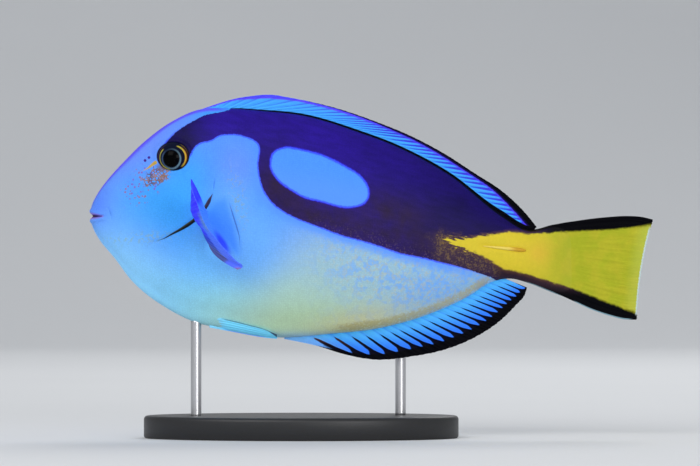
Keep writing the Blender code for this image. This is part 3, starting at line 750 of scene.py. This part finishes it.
def skin_finish():
    """Finely scaled skin: ground colour, indigo mask with its blue window, and the yellow tail."""
    skin = Finish("skin_finish", Specular_IOR_Level=0.09)
    fine = skin.noise(0.0011)
    grain = skin.noise(0.0004)
    scales = skin.cells(0.62, 0.5, skin.vector("lie"))
    drift = skin.noise(0.004, 3) - 0.5
    wobble = (fine - 0.5) * 0.55 + (grain - 0.5) * 0.35
    speckle = (scales.step(0.15, 0.65) - 0.5) * -0.1 + (grain - 0.5) * 0.2
    mask_edge = skin["mask"] + wobble
    oval_edge = skin["oval"] + wobble
    rim = mask_edge.band(-0.2, 0.24, 0.28).math("MAXIMUM", oval_edge.band(0.18, 0.4, 0.3))
    lobe = (skin["yellow"] * -1).step(-1.2, -0.2)
    frayed = (skin.noise(0.0008, 3, skin.vector("flow")) - 0.5) * skin["frayed"]
    yellow_edge = skin["yellow"] + wobble * 0.9 + drift * 1.2 + frayed * 8
    edging = yellow_edge.step(-1.6, -0.1) * (1 - skin["behind"])
    yellow = (skin["warm"] * 0.4).mix(tail_yellow(skin, fine), (224, 172, 60))
    tinted = skin["slit_off"].step(0.15, -0.45).math("MAXIMUM", grain.step(0.55, 0.75) * 0.6)
    inner = (tinted * 0.7).mix((12, 14, 34), (84, 88, 48))
    inner = (skin["slit_top"] * 0.7).mix(inner, (66, 54, 92))
    colour = layered(
        head_colour(skin, fine, grain, drift, speckle, mask_edge * -1),
        (mask_edge.step(-0.1, 0.1) * (1 - oval_edge.step(-0.1, 0.1)),
         mask_colour(skin, fine, drift, speckle)),
        (rim * 0.75 * skin["rimmed"], RIM_BLUE),
        (lobe * skin["browned"], STALK_BROWN),
        (lobe * skin["behind"], BLACK),
        (lobe * skin["keel"] * 0.7, (146, 184, 200)),
        (edging * 0.5, (104, 70, 46)),
        (yellow_edge.step(-0.45, 0.4), yellow),
        (skin["nostril"].step(-0.12, 0.12), (70, 24, 130)),
        (drawn_line(skin, "fold", 0.18) * 0.4, (30, 90, 190)),
        (drawn_line(skin, "crease", 0.14) * 0.6, (40, 80, 150)),
        (drawn_line(skin, "above", 0.14) * 0.5, (40, 100, 210)),
        (drawn_line(skin, "slit", 0.13), inner),
        (skin["gape"].step(-0.75, 0.05) * 0.7, (164, 122, 208)),
        (skin["gape"].step(0.05, 0.5), (60, 40, 66)),
        (1 - skin["eye"].step(5.55, 5.95), (22, 20, 40)))
    skin.set("Base Color", colour)
    skin.set("Roughness", 0.4 + 0.14 * fine)
    skin.bump(scales.step(0.15, 0.75) * -0.6 + grain * 0.35, 0.00005, 0.9)
    return skin.material


def tail_yellow(finish, fine):
    """The yellow of the tail stalk and tail fin, greener towards the fin's edge."""
    warm = finish.noise(0.006, seed=6).step(0.35, 0.65)
    base = finish["back"].step(0.16, 0.66).mix(YELLOW_SKIN, YELLOW_FIN)
    return (warm * 0.16).mix(base, (224, 184, 62)).tint(0.92 + 0.16 * fine)


def make_skin():
    """One skin over head, trunk and tail stalk, its end running into the tail fin."""
    points, row_a, level = skin_surface()
    a, h = seen(points)
    side_on = ease(1 - np.abs(level), 0.002, 0.03)
    relief = skin_relief(a, h) * np.where(a < 0.035, 1, side_on)
    points = points + normals(points, True) * relief[..., None]
    fields = {**marking_fields(points, level), **head_fields(points)}
    above_snout = (points[..., 2] - SNOUT_HEIGHT) / LENGTH
    above_belly = (above_snout - blunt(BELLY, row_a)) * MM
    above_back = (above_snout - blunt(BACK, row_a)) * MM
    fields.update({
        "lie": np.stack([a * MM, np.arccos(level) * 28, 0 * a], axis=-1),
        "flow": np.stack([a * 0.25, h + 0.25 * a, 0 * a], axis=-1) * LENGTH,
        "level": level,
        "mottled": (ease(a, 0.34, 0.5) * ease(-level, -0.3, 0.2)
                    * (0.25 + 0.75 * ease(fields["mask"], -24, -12))),
        "gloom": np.clip(ease(a, 0.36, 0.71) * 0.82
                         + 1.1 * (1 - ease(a, 0.15, 0.24)), 0, 1),
        "rimmed": (1 - ease(a, 0.62, 0.74)) * (1 - ease(level, 0.8, 0.93)),
        "behind": blackened(a, level),
        "keel": ease(-level, 0.955, 0.985) * ease(a, 0.768, 0.785),
        "browned": (level < 0) * ease(a, 0.712, 0.735),
        "crest": above_back + 0.9 * smooth(BACK_LINE, a),
        "fringe": (ease(a, 0.39, 0.47) * (1 - ease(a, 0.7, 0.74))
                   * hump(above_belly, 1.8, 2)),
        "armed": patch(a, h, (0.335, 0.06), (0.055, 0.07), 0.6),
        "dusty": ease(fields["mask"], 6, 0) * ease(a, 0.36, 0.45),
        "warm": patch(a, h, (0.797, -0.068), (0.022, 0.02)),
        "frayed": hump(a, 0.64, 0.045) + 0.1,
    })
    add_piece("skin", points, closed_tube(points), fields, skin_finish(),
              ("head", "trunk", "tail_stalk"))


def fin_piece(name, grid, middle, half, material, fields=None, ending="_web",
              flipped=False):
    """A closed fin: the middle surface moved by half its thickness to both sides, and a rim.

    The grid is u, v, the number of rays and their ridges. Fields are further grids of values.
    All are used on both faces; "face" is 1 on one and 0 on the other.
    """
    u, v, rays, ridge = grid
    fields = {"ray": u * rays, "reach": v, "along": u, "ridge": ridge, **(fields or {})}
    across = normals(middle, False) * half[..., None]
    rows, columns = middle.shape[:2]
    count = rows * columns
    faces = grid_quads(rows, columns, False)
    rim = np.concatenate([np.arange(columns - 1), np.arange(columns - 1, count - 1, columns),
                          np.arange(count - 1, count - columns, -1),
                          np.arange(count - columns, 0, -columns)])
    after = np.roll(rim, -1)
    sides = np.stack([rim, rim + count, after + count, after], axis=-1)
    faces = np.concatenate([faces, faces[:, ::-1] + count, sides])
    both = {key: np.concatenate([value, value]) for key, value in fields.items()}
    both["face"] = np.repeat([1 - flipped, 0 + flipped], count)
    add_piece(name + ending, np.concatenate([middle + across, middle - across]),
              faces.tolist(), both, material, (name,))


def fin_grid(rays, per_ray, rows):
    """Two grids of shares: u across the rays, and v from the root to the margin."""
    u = np.linspace(0, 1, rays * per_ray + 1)[None, :]
    v = np.linspace(0, 1, rows)[:, None]
    return np.broadcast_arrays(u, v)


def ray_ridge(u, v, rays, split=0.17):
    """Height of the rays from 0 to 1: one ridge for each, forking in two towards the margin."""
    phase = (u * rays) % 1 - 0.5
    fork = split * ease(v, 0.35, 0.95)
    width = 0.2 - 0.08 * ease(v, 0.35, 0.95)
    return np.maximum(hump(phase, fork, width), hump(phase, -fork, width))


def fin_finish(name, roughness, specular, grain, **constants):
    """A fin's material, with a bump of fine joints across the rays and of the web between them.

    Returned with the place along the fin from its first ray to its last, and fine noise.
    """
    fin = Finish(name, Roughness=roughness, Specular_IOR_Level=specular, **constants)
    joints = ((fin["reach"] * 190).math("SINE") * 0.5 + 0.5) * fin["ridge"]
    fin.bump(joints * 0.25 + fin["ridge"] * 0.4 + fin.noise(0.0005) * 0.2, 0.00008, 0.7)
    return fin, fin["along"], fin.noise(grain)


def dorsal_finish():
    """Azure band crossed by violet streaks, a violet edge and a dark margin behind."""
    fin, way, fine = fin_finish("dorsal_fin_finish", 0.48, 0.03, 0.0008)
    edge = fin["edge"] + (fine - 0.5) * 0.35
    dark = fin["dark"]
    lift = fin["lift"]
    out = 1 - (edge - dark) / (edge - dark + lift)
    rearward = way.step(0.12, 0.45)
    from_middle = abs(fin["ray"].math("FRACT") - 0.5)
    blade = from_middle + out * 0.2 * (0.1 + 0.9 * rearward)
    streak = blade.step(0.34, 0.44) * out.step(0.08, 0.4)
    tone = out.step(0.2, 0.8).mix((38, 84, 224), (60, 26, 214))
    lens = way.step(0.045, 0.115) * way.step(0.175, 0.135)
    depth = dark + 0.8 - 0.3 * rearward + 0.75 * lens - edge
    pinkish = depth.band(0.15, 0.12, 0.15) * way.step(0.42, 0.25)
    inky = (dark - edge).step(0, 0.9).mix((26, 16, 82), BLACK)
    colour = layered(
        (72, 170, 255),
        (out.step(0.45, 1) * 0.4, (70, 116, 255)),
        (streak * (0.45 + 0.42 * rearward), tone),
        (depth.step(-0.3, 0.3) * 0.9, FIN_VIOLET),
        (pinkish * 0.55, (120, 60, 244)),
        ((dark - edge).step(-0.16, 0.16), inky),
        ((fin["line"] - lift).step(-0.12, 0.12), BLACK))
    fin.set("Base Color", colour.tint(0.95 + 0.12 * fine))
    return fin.material


def anal_finish():
    """Bright blue blades parted by dark streaks that widen into a black margin."""
    fin, way, fine = fin_finish("anal_fin_finish", 0.48, 0.03, 0.0008)
    edge = fin["edge"] + (fine - 0.5) * 0.4
    dark = fin["dark"] - way.step(0.955, 1) * 1.3
    out = 1 - (edge - dark) / (edge - dark + fin["lift"])
    opened = out.step(0.12, 0.45) * 0.14 + out.step(0.45, 0.85) * 0.06 + out.step(0.8, 1.1) * 0.34
    from_middle = abs(fin["ray"].math("FRACT") - 0.5)
    streak = (from_middle + (fine - 0.5) * 0.05 + opened - 0.52).step(-0.035, 0.035)
    streak = streak * out.step(0.14, 0.28) * way.step(0.03, 0.04)
    brownish = way.step(0.16, 0.05) * out.step(0.9, 0.3)
    colour = layered(
        (82, 184, 254),
        (out.step(0, 0.95), (52, 122, 250)),
        (from_middle.step(0.3, 0.48) * 0.35, (48, 110, 240)),
        (way.step(0.1, 0) * 0.7, (140, 200, 254)),
        (streak, (brownish * 0.7).mix((6, 5, 22), (84, 52, 48))),
        ((dark - edge).step(-0.2, 0.2), BLACK))
    fin.set("Base Color", colour.tint(0.95 + 0.12 * fine))
    return fin.material


def caudal_finish():
    """Yellow fan between black lobes, with a pale edge behind."""
    fin, way, fine = fin_finish("caudal_fin_finish", 0.5, 0.03, 0.0011)
    reach = fin["reach"]
    drift = fin.noise(0.004, 3) - 0.5
    streaks = fin.noise(0.0016, 3, fin.vector("lie")) - 0.5
    spread = reach.step(0.35, 0.55)
    yellow = tail_yellow(fin, fine).tint(
        1 + spread * (0.34 * streaks + 0.03 * fin["ridge"] - 0.02))
    edge = fin["yellow"] + (fine - 0.5) * 0.6 + drift * 0.7
    pale = (reach - 0.985).step(-0.006, 0.006) * way.step(0.06, 0.12) * way.step(0.97, 0.93)
    lower = (way - 0.99).step(-0.003, 0.003) * reach.step(0.97, 0.9) * reach.step(0.36, 0.42)
    colour = layered(
        fin["behind"].mix(STALK_BROWN, BLACK),
        (edge.step(-0.65, 0.45), yellow),
        (reach.step(0.84, 0.97) * 0.5, edge.step(0, 1).mix(BLACK, (182, 192, 80))),
        (pale * 0.85, (196, 214, 222)),
        (lower * 0.7, (146, 184, 200)))
    fin.set("Base Color", colour)
    return fin.material


def glowing(fin, colour):
    """Sets a thin fin's colour, which also stands for the light that comes through it."""
    fin.set("Base Color", colour)
    fin.set("Emission Color", colour)
    return fin.material


def pectoral_finish():
    """Periwinkle behind, as the lit face; in front painted shade, ultramarine above and dark
    towards the lower rays, with a paler lit band near the margin; a tan tip.
    """
    fin, down, fine = fin_finish("pectoral_fin_finish", 0.45, 0.08, 0.0009,
                                Emission_Strength=WEB_GLOW)
    reach = fin["reach"]
    # The rear face is painted paler, as the fin's lit side.
    rear = layered(
        (74, 142, 255),
        (reach.step(0.3, 0.6), (86, 116, 255)),
        (down.step(0.12, 0.04) * reach.step(0.2, 0.5) * 0.95, (52, 30, 255)))
    # The front face is painted as the fin's shaded side; its paler band near the margin is painted
    # light.
    front = layered(
        (52, 32, 255),
        (down.step(0.5, 0.66), (28, 46, 196)),
        (down.step(0.62, 0.9), (78, 84, 146)),
        (reach.step(0.76, 0.86) * down.step(0.32, 0.46),
         down.step(0.4, 1).mix((66, 112, 255), (88, 116, 255))))
    spot = down.band(0.38, 0.09, 0.06) * reach.step(0.88, 0.99)
    tip = down.step(0.95, 0.985) * reach.step(0.93, 0.99)
    colour = layered(
        fin["face"].mix(rear, front),
        (spot * 0.6, (96, 150, 156)),
        (tip * 0.7, (150, 112, 112)),
        (fin["ridge"] * 0.14, (110, 136, 255)))
    return glowing(fin, colour.tint(0.94 + 0.14 * fine))


def pelvic_finish():
    """Pale cyan fin with a dark upper edge."""
    fin, down, fine = fin_finish("pelvic_fin_finish", 0.45, 0.08, 0.0009,
                                Emission_Strength=WEB_GLOW)
    reach = fin["reach"]
    edge = (1 - down.step(0.02, 0.08)) * reach.step(0.05, 0.3)
    lower = down.step(0.82, 0.98) * reach.step(0.15, 0.35) * reach.step(0.9, 0.7)
    tip = (reach - 0.25 * down).step(0.84, 0.93)
    colour = layered(
        (122, 218, 255),
        (down.step(0, 0.8), (116, 214, 255)),
        (edge * 0.75, (70, 92, 90)),
        (lower * 0.6, (92, 92, 240)),
        (reach.step(0.28, 0.1) * 0.75, (138, 204, 236)),
        (tip * 0.85, (44, 44, 70)))
    return glowing(fin, colour.tint(0.93 + 0.14 * fine))


def band_fin(name, outline, margin_line, dark_line, lay, sunk, material):
    """A long fin on the back or the belly, its rays swept back and its margin gently waved."""
    numbers, roots, tips = np.array(lay).T
    rays = int(numbers[-1])
    u, v = fin_grid(rays, 10, 44)
    root_a = np.interp(u * rays, numbers, roots)
    root = place(root_a, 0, blunt(outline, root_a) + sunk / LENGTH)
    margin_a, margin_h = along(margin_line, np.interp(u * rays, numbers, tips))
    margin = place(margin_a, 0, margin_h)
    ridge = ray_ridge(u, v, rays)
    notch = 1 - 0.01 * (1 - ridge) * ease(v, 0.6, 1)
    middle = root + (margin - root) * (v * notch)[..., None]
    a = middle[..., 0] / LENGTH + 0.5
    h = (middle[..., 2] - SNOUT_HEIGHT) / LENGTH
    middle[..., 1] += FIN_WAVE * np.sin(u * 23 + v * 2) * v ** 1.5
    half = 0.00025 + 0.00022 * ridge * (1 - 0.4 * v) + 0.00045 * (1 - ease(v, 0, 0.14))
    fields = {"edge": to_line(a, h, margin_line)[0] * 1000, "dark": smooth(dark_line, a),
              "lift": np.abs(h - blunt(outline, a)) * MM,
              "line": smooth(BACK_LINE, a)}
    fin_piece(name, (u, v, rays, ridge), middle, half * (1 - 0.35 * v), material, fields)


def make_caudal_fin():
    """The tail fin: rays that fan from inside the stalk, slightly hollow behind."""
    u, v = fin_grid(CAUDAL_RAYS, 14, 90)
    reach = v - CAUDAL_FORK / CAUDAL_LENGTH * np.sin(np.pi * u) * v
    top_a, top_h = along(CAUDAL_TOP, reach)
    bottom_a, bottom_h = along(CAUDAL_BOTTOM, reach)
    ridge = ray_ridge(u, v, CAUDAL_RAYS, 0.2)
    fray = 0.0002 * (1 - ridge) * ease(v, 0.9, 1)
    middle = place(top_a + (bottom_a - top_a) * u - fray / LENGTH, 0,
                   top_h + (bottom_h - top_h) * u)
    middle[..., 0] += GAP
    middle[..., 1] += 0.0005 * np.sin(u * 8 + 0.6) * v ** 2
    ridged = ridge * ease(v, 0.3, 0.55)
    half = 0.00034 + 0.00012 * ridged * (1 - 0.45 * v) + 0.0002 * (2 * u - 1) ** 6
    half = half * (1 - 0.35 * v) + 0.0003 * (1 - ease(v, 0.1, 0.5))
    a, h = seen(middle)
    fields = {"yellow": inside(a, h, YELLOW) * 1000, "back": ease(a, 0.66, 1),
              "behind": blackened(a, 1 - 2 * u),
              "lie": np.stack([v * 0.006, u * 0.045, 0 * u], axis=-1)}
    fin_piece("caudal_fin", (u, v, CAUDAL_RAYS, ridge), middle, half, caudal_finish(), fields,
              "_skin")


def make_pectoral_fin(name, side, material):
    """A fan that stands out from the flank behind the gill cover, bowed along its rays."""
    u, v = fin_grid(PECTORAL_RAYS, 10, 60)
    (top_a, top_h), (low_a, low_h) = PECTORAL_BASE
    a = top_a + (low_a - top_a) * u
    h = top_h + (low_h - top_h) * u
    root = place(a, side * (flank_y(a, h) - FIN_SINK), h)
    margin_a, margin_h, margin_y = along(PECTORAL_MARGIN, u)
    margin = place(margin_a, side * margin_y * LENGTH, margin_h)
    ridge = ray_ridge(u, v, PECTORAL_RAYS)
    notch = 1 - 0.015 * (1 - ridge) * ease(v, 0.6, 1)
    middle = root + (margin - root) * (v * notch)[..., None]
    middle[..., 0] -= smooth(PECTORAL_BOW, u) * 4 * v * (1 - v)
    half = 0.00024 + 0.00024 * ridge * (1 - 0.5 * v) + 0.0005 * (1 - ease(v, 0, 0.15))
    fin_piece(name, (u, v, PECTORAL_RAYS, ridge), middle, half * (1 - 0.4 * v), material,
              flipped=side > 0)


def make_pelvic_fin(name, side, material):
    """A short narrow fin folded along the belly."""
    u, v = fin_grid(PELVIC_RAYS, 10, 60)
    a, top = along(PELVIC_TOP, v)
    h = top + (blunt(BELLY, a) - PELVIC_DROP - top) * u
    lift = 0.0003 + 0.001 * v - 0.0018 * (1 - ease(v - 0.12 * u, 0, 0.22))
    out = np.maximum(flank_y(a, h) + lift, PELVIC_APART - 0.0006)
    ridge = ray_ridge(u, v, PELVIC_RAYS, 0.14)
    half = 0.00024 + 0.00022 * ridge * (1 - 0.5 * v) + 0.0003 * (1 - ease(v, 0, 0.15))
    fin_piece(name, (u, v, PELVIC_RAYS, ridge), place(a, side * out, h),
              half * (1 - 0.45 * v), material)


def eye_frame(side):
    """Where the flank is at the eye, and the eye's outward axis, as in the solids."""
    a, h = EYE_AT
    step = 0.01
    slope_x = (flank_y(a + step, h) - flank_y(a - step, h)) / (2 * step * LENGTH)
    slope_z = (flank_y(a, h + step) - flank_y(a, h - step)) / (2 * step * LENGTH)
    axis = np.array([-slope_x * EYE_TURN, side, -slope_z * EYE_TURN])
    return place(a, side * flank_y(a, h), h), axis / np.linalg.norm(axis)


def eye_finish():
    """Black pupil, steel-blue ring lit by a painted highlight towards the lower rear, and a gold
    ring, broken above and below and wider behind.
    """
    eye = Finish("eye_finish", Roughness=0.22, Specular_IOR_Level=0.02, Coat_Weight=0.03,
                 Coat_Roughness=0.04)
    across = eye["across"]
    up = eye["up"]
    fine = eye.noise(0.0003)
    r = eye["radial"] + (fine - 0.5) * 0.12
    ring = eye["ring"] + (fine - 0.5) * 0.03
    # The steel-blue ring is lighter towards the lower rear: a painted highlight.
    steel = (0.5 + 0.5 * (across * 0.7 - up * 0.7)).mix((22, 34, 58), (104, 134, 146))
    steel = across.step(-0.5, -0.9).mix(steel, (56, 74, 104))
    lean = across + 0.26 * up
    gold = lean.step(0.56, 0.74).math("MAXIMUM", lean.step(-0.38, -0.56))
    rich = across.step(-0.3, 0.7).mix((142, 136, 70), (228, 180, 62))
    rich = abs(up).step(0.2, 0.8).mix(rich, (182, 170, 62))
    width = 0.036 + 0.026 * across.step(0, 0.8)
    hoop = 1 - (abs(ring - 0.985) - width).step(-0.022, 0.026)
    rust = ring.step(1.03, 1.06) * ring.step(1.14, 1.09) * across.step(0.55, 0.85)
    arc = ring.band(1.21, 0.028, 0.026) * across.step(0.4, 0.65) * up.step(-0.15, 0.1)
    outside = ring.band(1.13, 0.03, 0.03) * across.step(-0.3, -0.7)
    eye.set("Base Color", layered(
        np.array((0.0005, 0.0005, 0.0008)),
        (r.step(2.76, 2.92), (14, 20, 42)),
        (r.band(3.28, 0.24, 0.2) * (0.55 + 0.9 * fine), steel),
        (hoop * gold * 0.92, rich),
        (rust * 0.75, (132, 66, 30)),
        (arc * 0.75, (126, 104, 60)),
        (outside * 0.7, (70, 44, 84))))
    return eye.material


def make_eye(name, side, material):
    """An eyeball: an ellipsoid flattened along its axis, with a slightly raised clear front."""
    surface, axis = eye_frame(side)
    forward = np.array([-1, 0, 0]) + axis * axis[0]
    forward /= np.linalg.norm(forward)
    upward = np.cross(axis, forward)
    upward *= np.sign(upward[2])
    polar = np.linspace(0.02, np.pi - 0.02, 60)[:, None]
    spin = circle(96)
    radius = EYE_RADIUS * np.sin(polar)
    front = EYE_FRONT_RISE * hump(radius, 0, EYE_FRONT_WIDTH) * (polar < 1.5)
    depth = EYE_HALF_DEPTH * np.cos(polar) + front
    rise = radius * np.sin(spin) * EYE_SQUASH
    points = (surface - axis * EYE_SINK - (radius * np.cos(spin))[..., None] * forward
              + rise[..., None] * upward + depth[..., None] * axis)
    sight_x = (radius * np.cos(spin) - PUPIL_AT[0]) * 1000
    sight_z = (rise - PUPIL_AT[1]) * 1000 / PUPIL_TALL
    radial = np.maximum(np.hypot(sight_x, sight_z), 1e-6)
    a, h = seen(points)
    ring = np.hypot((a - RING_AT[0]) / RING_RADII[0], (h - RING_AT[1]) / RING_RADII[1])
    behind = polar > 1.6
    fields = {"radial": np.where(behind, 9, radial), "ring": np.where(behind, 2, ring * LENGTH),
              "across": sight_x / radial, "up": sight_z / radial}
    add_piece(name + "_ball", points, closed_tube(points), fields, material, (name,))


def spine_finish():
    """Pale bone of the tail spine, orange at its root."""
    spine = Finish("tail_spine_finish", Roughness=0.45, Specular_IOR_Level=0.1)
    colour = spine["reach"].step(0.55, 0.8).mix((232, 210, 100), (204, 158, 50))
    spine.set("Base Color", colour.tint(0.92 + 0.16 * spine.noise(0.0008)))
    return spine.material


def make_tail_spine(name, side, material):
    """The blade on the stalk: a flattened drop, point forwards, bedded in its groove."""
    t = np.linspace(0.01, 0.99, 50)[:, None]
    turn = circle(24)
    a = SPINE_TIP[0] + (SPINE_END[0] - SPINE_TIP[0]) * t
    h = SPINE_TIP[1] + (SPINE_END[1] - SPINE_TIP[1]) * t
    full = np.sqrt(t) * np.minimum(1, (1 - t) / 0.18) ** 0.5
    y = side * (flank_y(a, h) - SPINE_SINK + SPINE_HALF_WIDTH * full * np.sin(turn))
    points = place(a, y, h + SPINE_HALF_HEIGHT * full * np.cos(turn) / LENGTH)
    add_piece(name + "_blade", points, closed_tube(points), {"reach": t + 0 * turn}, material,
              (name,))


def base_finish():
    """Satin black stand with a faint grain."""
    base = Finish("stand_base_finish", Specular_IOR_Level=0.45)
    grain = base.noise(0.0006, 3)
    tones = np.array(((0.012, 0.012, 0.013), (0.024, 0.024, 0.026)))
    base.set("Base Color", (grain * 0.6).mix(*tones))
    base.set("Roughness", 0.36 + 0.14 * grain)
    base.bump(grain, 0.00004, 0.6)
    return base.material


def rod_finish():
    """Steel brushed round the rod."""
    rod = Finish("stand_rod_finish", Metallic=1)
    brushed = rod.noise(0.0012, 3, rod.coordinates((1, 1, 14)))
    tones = np.array(((0.5, 0.5, 0.51), (0.66, 0.66, 0.68)))
    rod.set("Base Color", brushed.mix(*tones))
    rod.set("Roughness", 0.24 + 0.18 * brushed)
    rod.bump(brushed, 0.00003, 0.5)
    return rod.material


def stack_rings(name, part, radii, levels, count, material):
    """A closed piece round the middle of a solid: ellipses with these radii at these levels."""
    x, y, _ = np.mean(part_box(part), axis=0)
    turn = circle(count)
    points = np.stack(np.broadcast_arrays(x + radii[0] * np.cos(turn), y + radii[1] * np.sin(turn),
                                          levels), axis=-1)
    add_piece(name, points, closed_tube(points), {}, material, (part,))


def make_base(material):
    """The oval plate: ellipses stacked up its side, round a small eased edge and in to its top."""
    (x_low, y_low, _), (x_high, y_high, top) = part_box("stand_base")
    bend = np.linspace(0, np.pi / 2, 10)
    inset = np.concatenate([[0.03, 0.0006, 0], BASE_EDGE * (1 - np.cos(bend)),
                            [0.004, 0.015, 0.03]])[:, None]
    rise = np.concatenate([[0, 0, 0.0006], top - BASE_EDGE * (1 - np.sin(bend)),
                           [top] * 3])[:, None]
    radii = ((x_high - x_low) / 2 - inset, (y_high - y_low) / 2 - inset)
    stack_rings("stand_plate", "stand_base", radii, rise, 160, material)


def make_rod(name, material):
    """A round rod from just inside the base to just inside the body."""
    (x_low, _, bottom), (x_high, _, top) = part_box(name)
    radius = (x_high - x_low) / 2
    rise = np.linspace(bottom - 0.001, top + 0.0008, 30)[:, None]
    stack_rings(name + "_bar", name, (radius, radius), rise, 48, material)


def add_stage():
    """A pale floor that curves up into a backdrop far behind."""
    bend = np.linspace(0, np.pi / 2, 16)
    depth = np.concatenate([[-6], 1.6 + 0.8 * np.sin(bend), [2.4]])
    rise = np.concatenate([[0], 0.8 * (1 - np.cos(bend)), [5]])
    x = np.array([-5, 5])
    points = np.stack(np.broadcast_arrays(x[None, :], depth[:, None], rise[:, None]), axis=-1)
    mesh = bpy.data.meshes.new("floor")
    mesh.from_pydata(points.reshape(-1, 3).tolist(), [],
                     grid_quads(len(depth), 2, False).tolist())
    mesh.shade_smooth()
    floor_look = Finish("floor_finish", Roughness=0.8, Specular_IOR_Level=0.2)
    tones = np.array(((0.7, 0.71, 0.72), (0.74, 0.75, 0.76)))
    floor_look.set("Base Color", floor_look.noise(0.35).mix(*tones))
    mesh.materials.append(floor_look.material)
    floor = bpy.data.objects.new("floor", mesh)
    bpy.context.scene.collection.objects.link(floor)


def add_light(name, at, aim, size, power):
    """A soft square light pointed at a place on the fish."""
    light = bpy.data.lights.new(name, "AREA")
    light.shape = "SQUARE"
    light.size = size
    light.energy = power
    holder = bpy.data.objects.new(name, light)
    holder.location = at
    holder.rotation_euler = (Vector(aim) - Vector(at)).to_track_quat("-Z", "Y").to_euler()
    bpy.context.scene.collection.objects.link(holder)


def add_lights_and_camera():
    """Studio light from the front left and above, a fill, and the camera at the photo's view."""
    middle = (0, 0, 0.07)
    add_light("key", (-0.75, -1.45, 1.1), middle, 1.1, 15)
    add_light("fill", (0.7, -1.7, 0.32), middle, 0.6, 9)
    add_light("back", (0.4, 1.1, 1.2), middle, 0.9, 9)
    world = bpy.data.worlds.new("studio")
    world.use_nodes = True
    world.node_tree.nodes["Background"].inputs["Color"].default_value = (0.92, 0.95, 1, 1)
    world.node_tree.nodes["Background"].inputs["Strength"].default_value = 0.5
    bpy.context.scene.world = world
    camera = bpy.data.cameras.new("camera")
    camera.sensor_width = 36
    camera.lens = camera.sensor_width * VIEW_DISTANCE / VIEW_WIDTH
    camera.clip_start = 0.01
    holder = bpy.data.objects.new("camera", camera)
    aim_x, _, aim_z = place(AIM[0], 0, AIM[1]).tolist()
    holder.location = (aim_x, -VIEW_DISTANCE, aim_z)
    holder.rotation_euler = (math.pi / 2, 0, 0)
    bpy.context.scene.collection.objects.link(holder)
    bpy.context.scene.camera = holder
    bpy.context.scene.view_settings.view_transform = "Standard"


def main():
    make_skin()
    band_fin("dorsal_fin", BACK, DORSAL_MARGIN, DORSAL_DARK, DORSAL_RAYS, -FIN_SINK,
             dorsal_finish())
    band_fin("anal_fin", BELLY, ANAL_MARGIN, ANAL_DARK, ANAL_RAYS, FIN_SINK, anal_finish())
    make_caudal_fin()
    pectoral = pectoral_finish()
    pelvic = pelvic_finish()
    eye = eye_finish()
    spine = spine_finish()
    for suffix, side in SIDES:
        make_pectoral_fin("pectoral_fin_" + suffix, side, pectoral)
        make_pelvic_fin("pelvic_fin_" + suffix, side, pelvic)
        make_eye("eye_" + suffix, side, eye)
        make_tail_spine("tail_spine_" + suffix, side, spine)
    make_base(base_finish())
    rod = rod_finish()
    for name in ("stand_rod_front", "stand_rod_rear"):
        make_rod(name, rod)
    add_stage()
    add_lights_and_camera()


main()
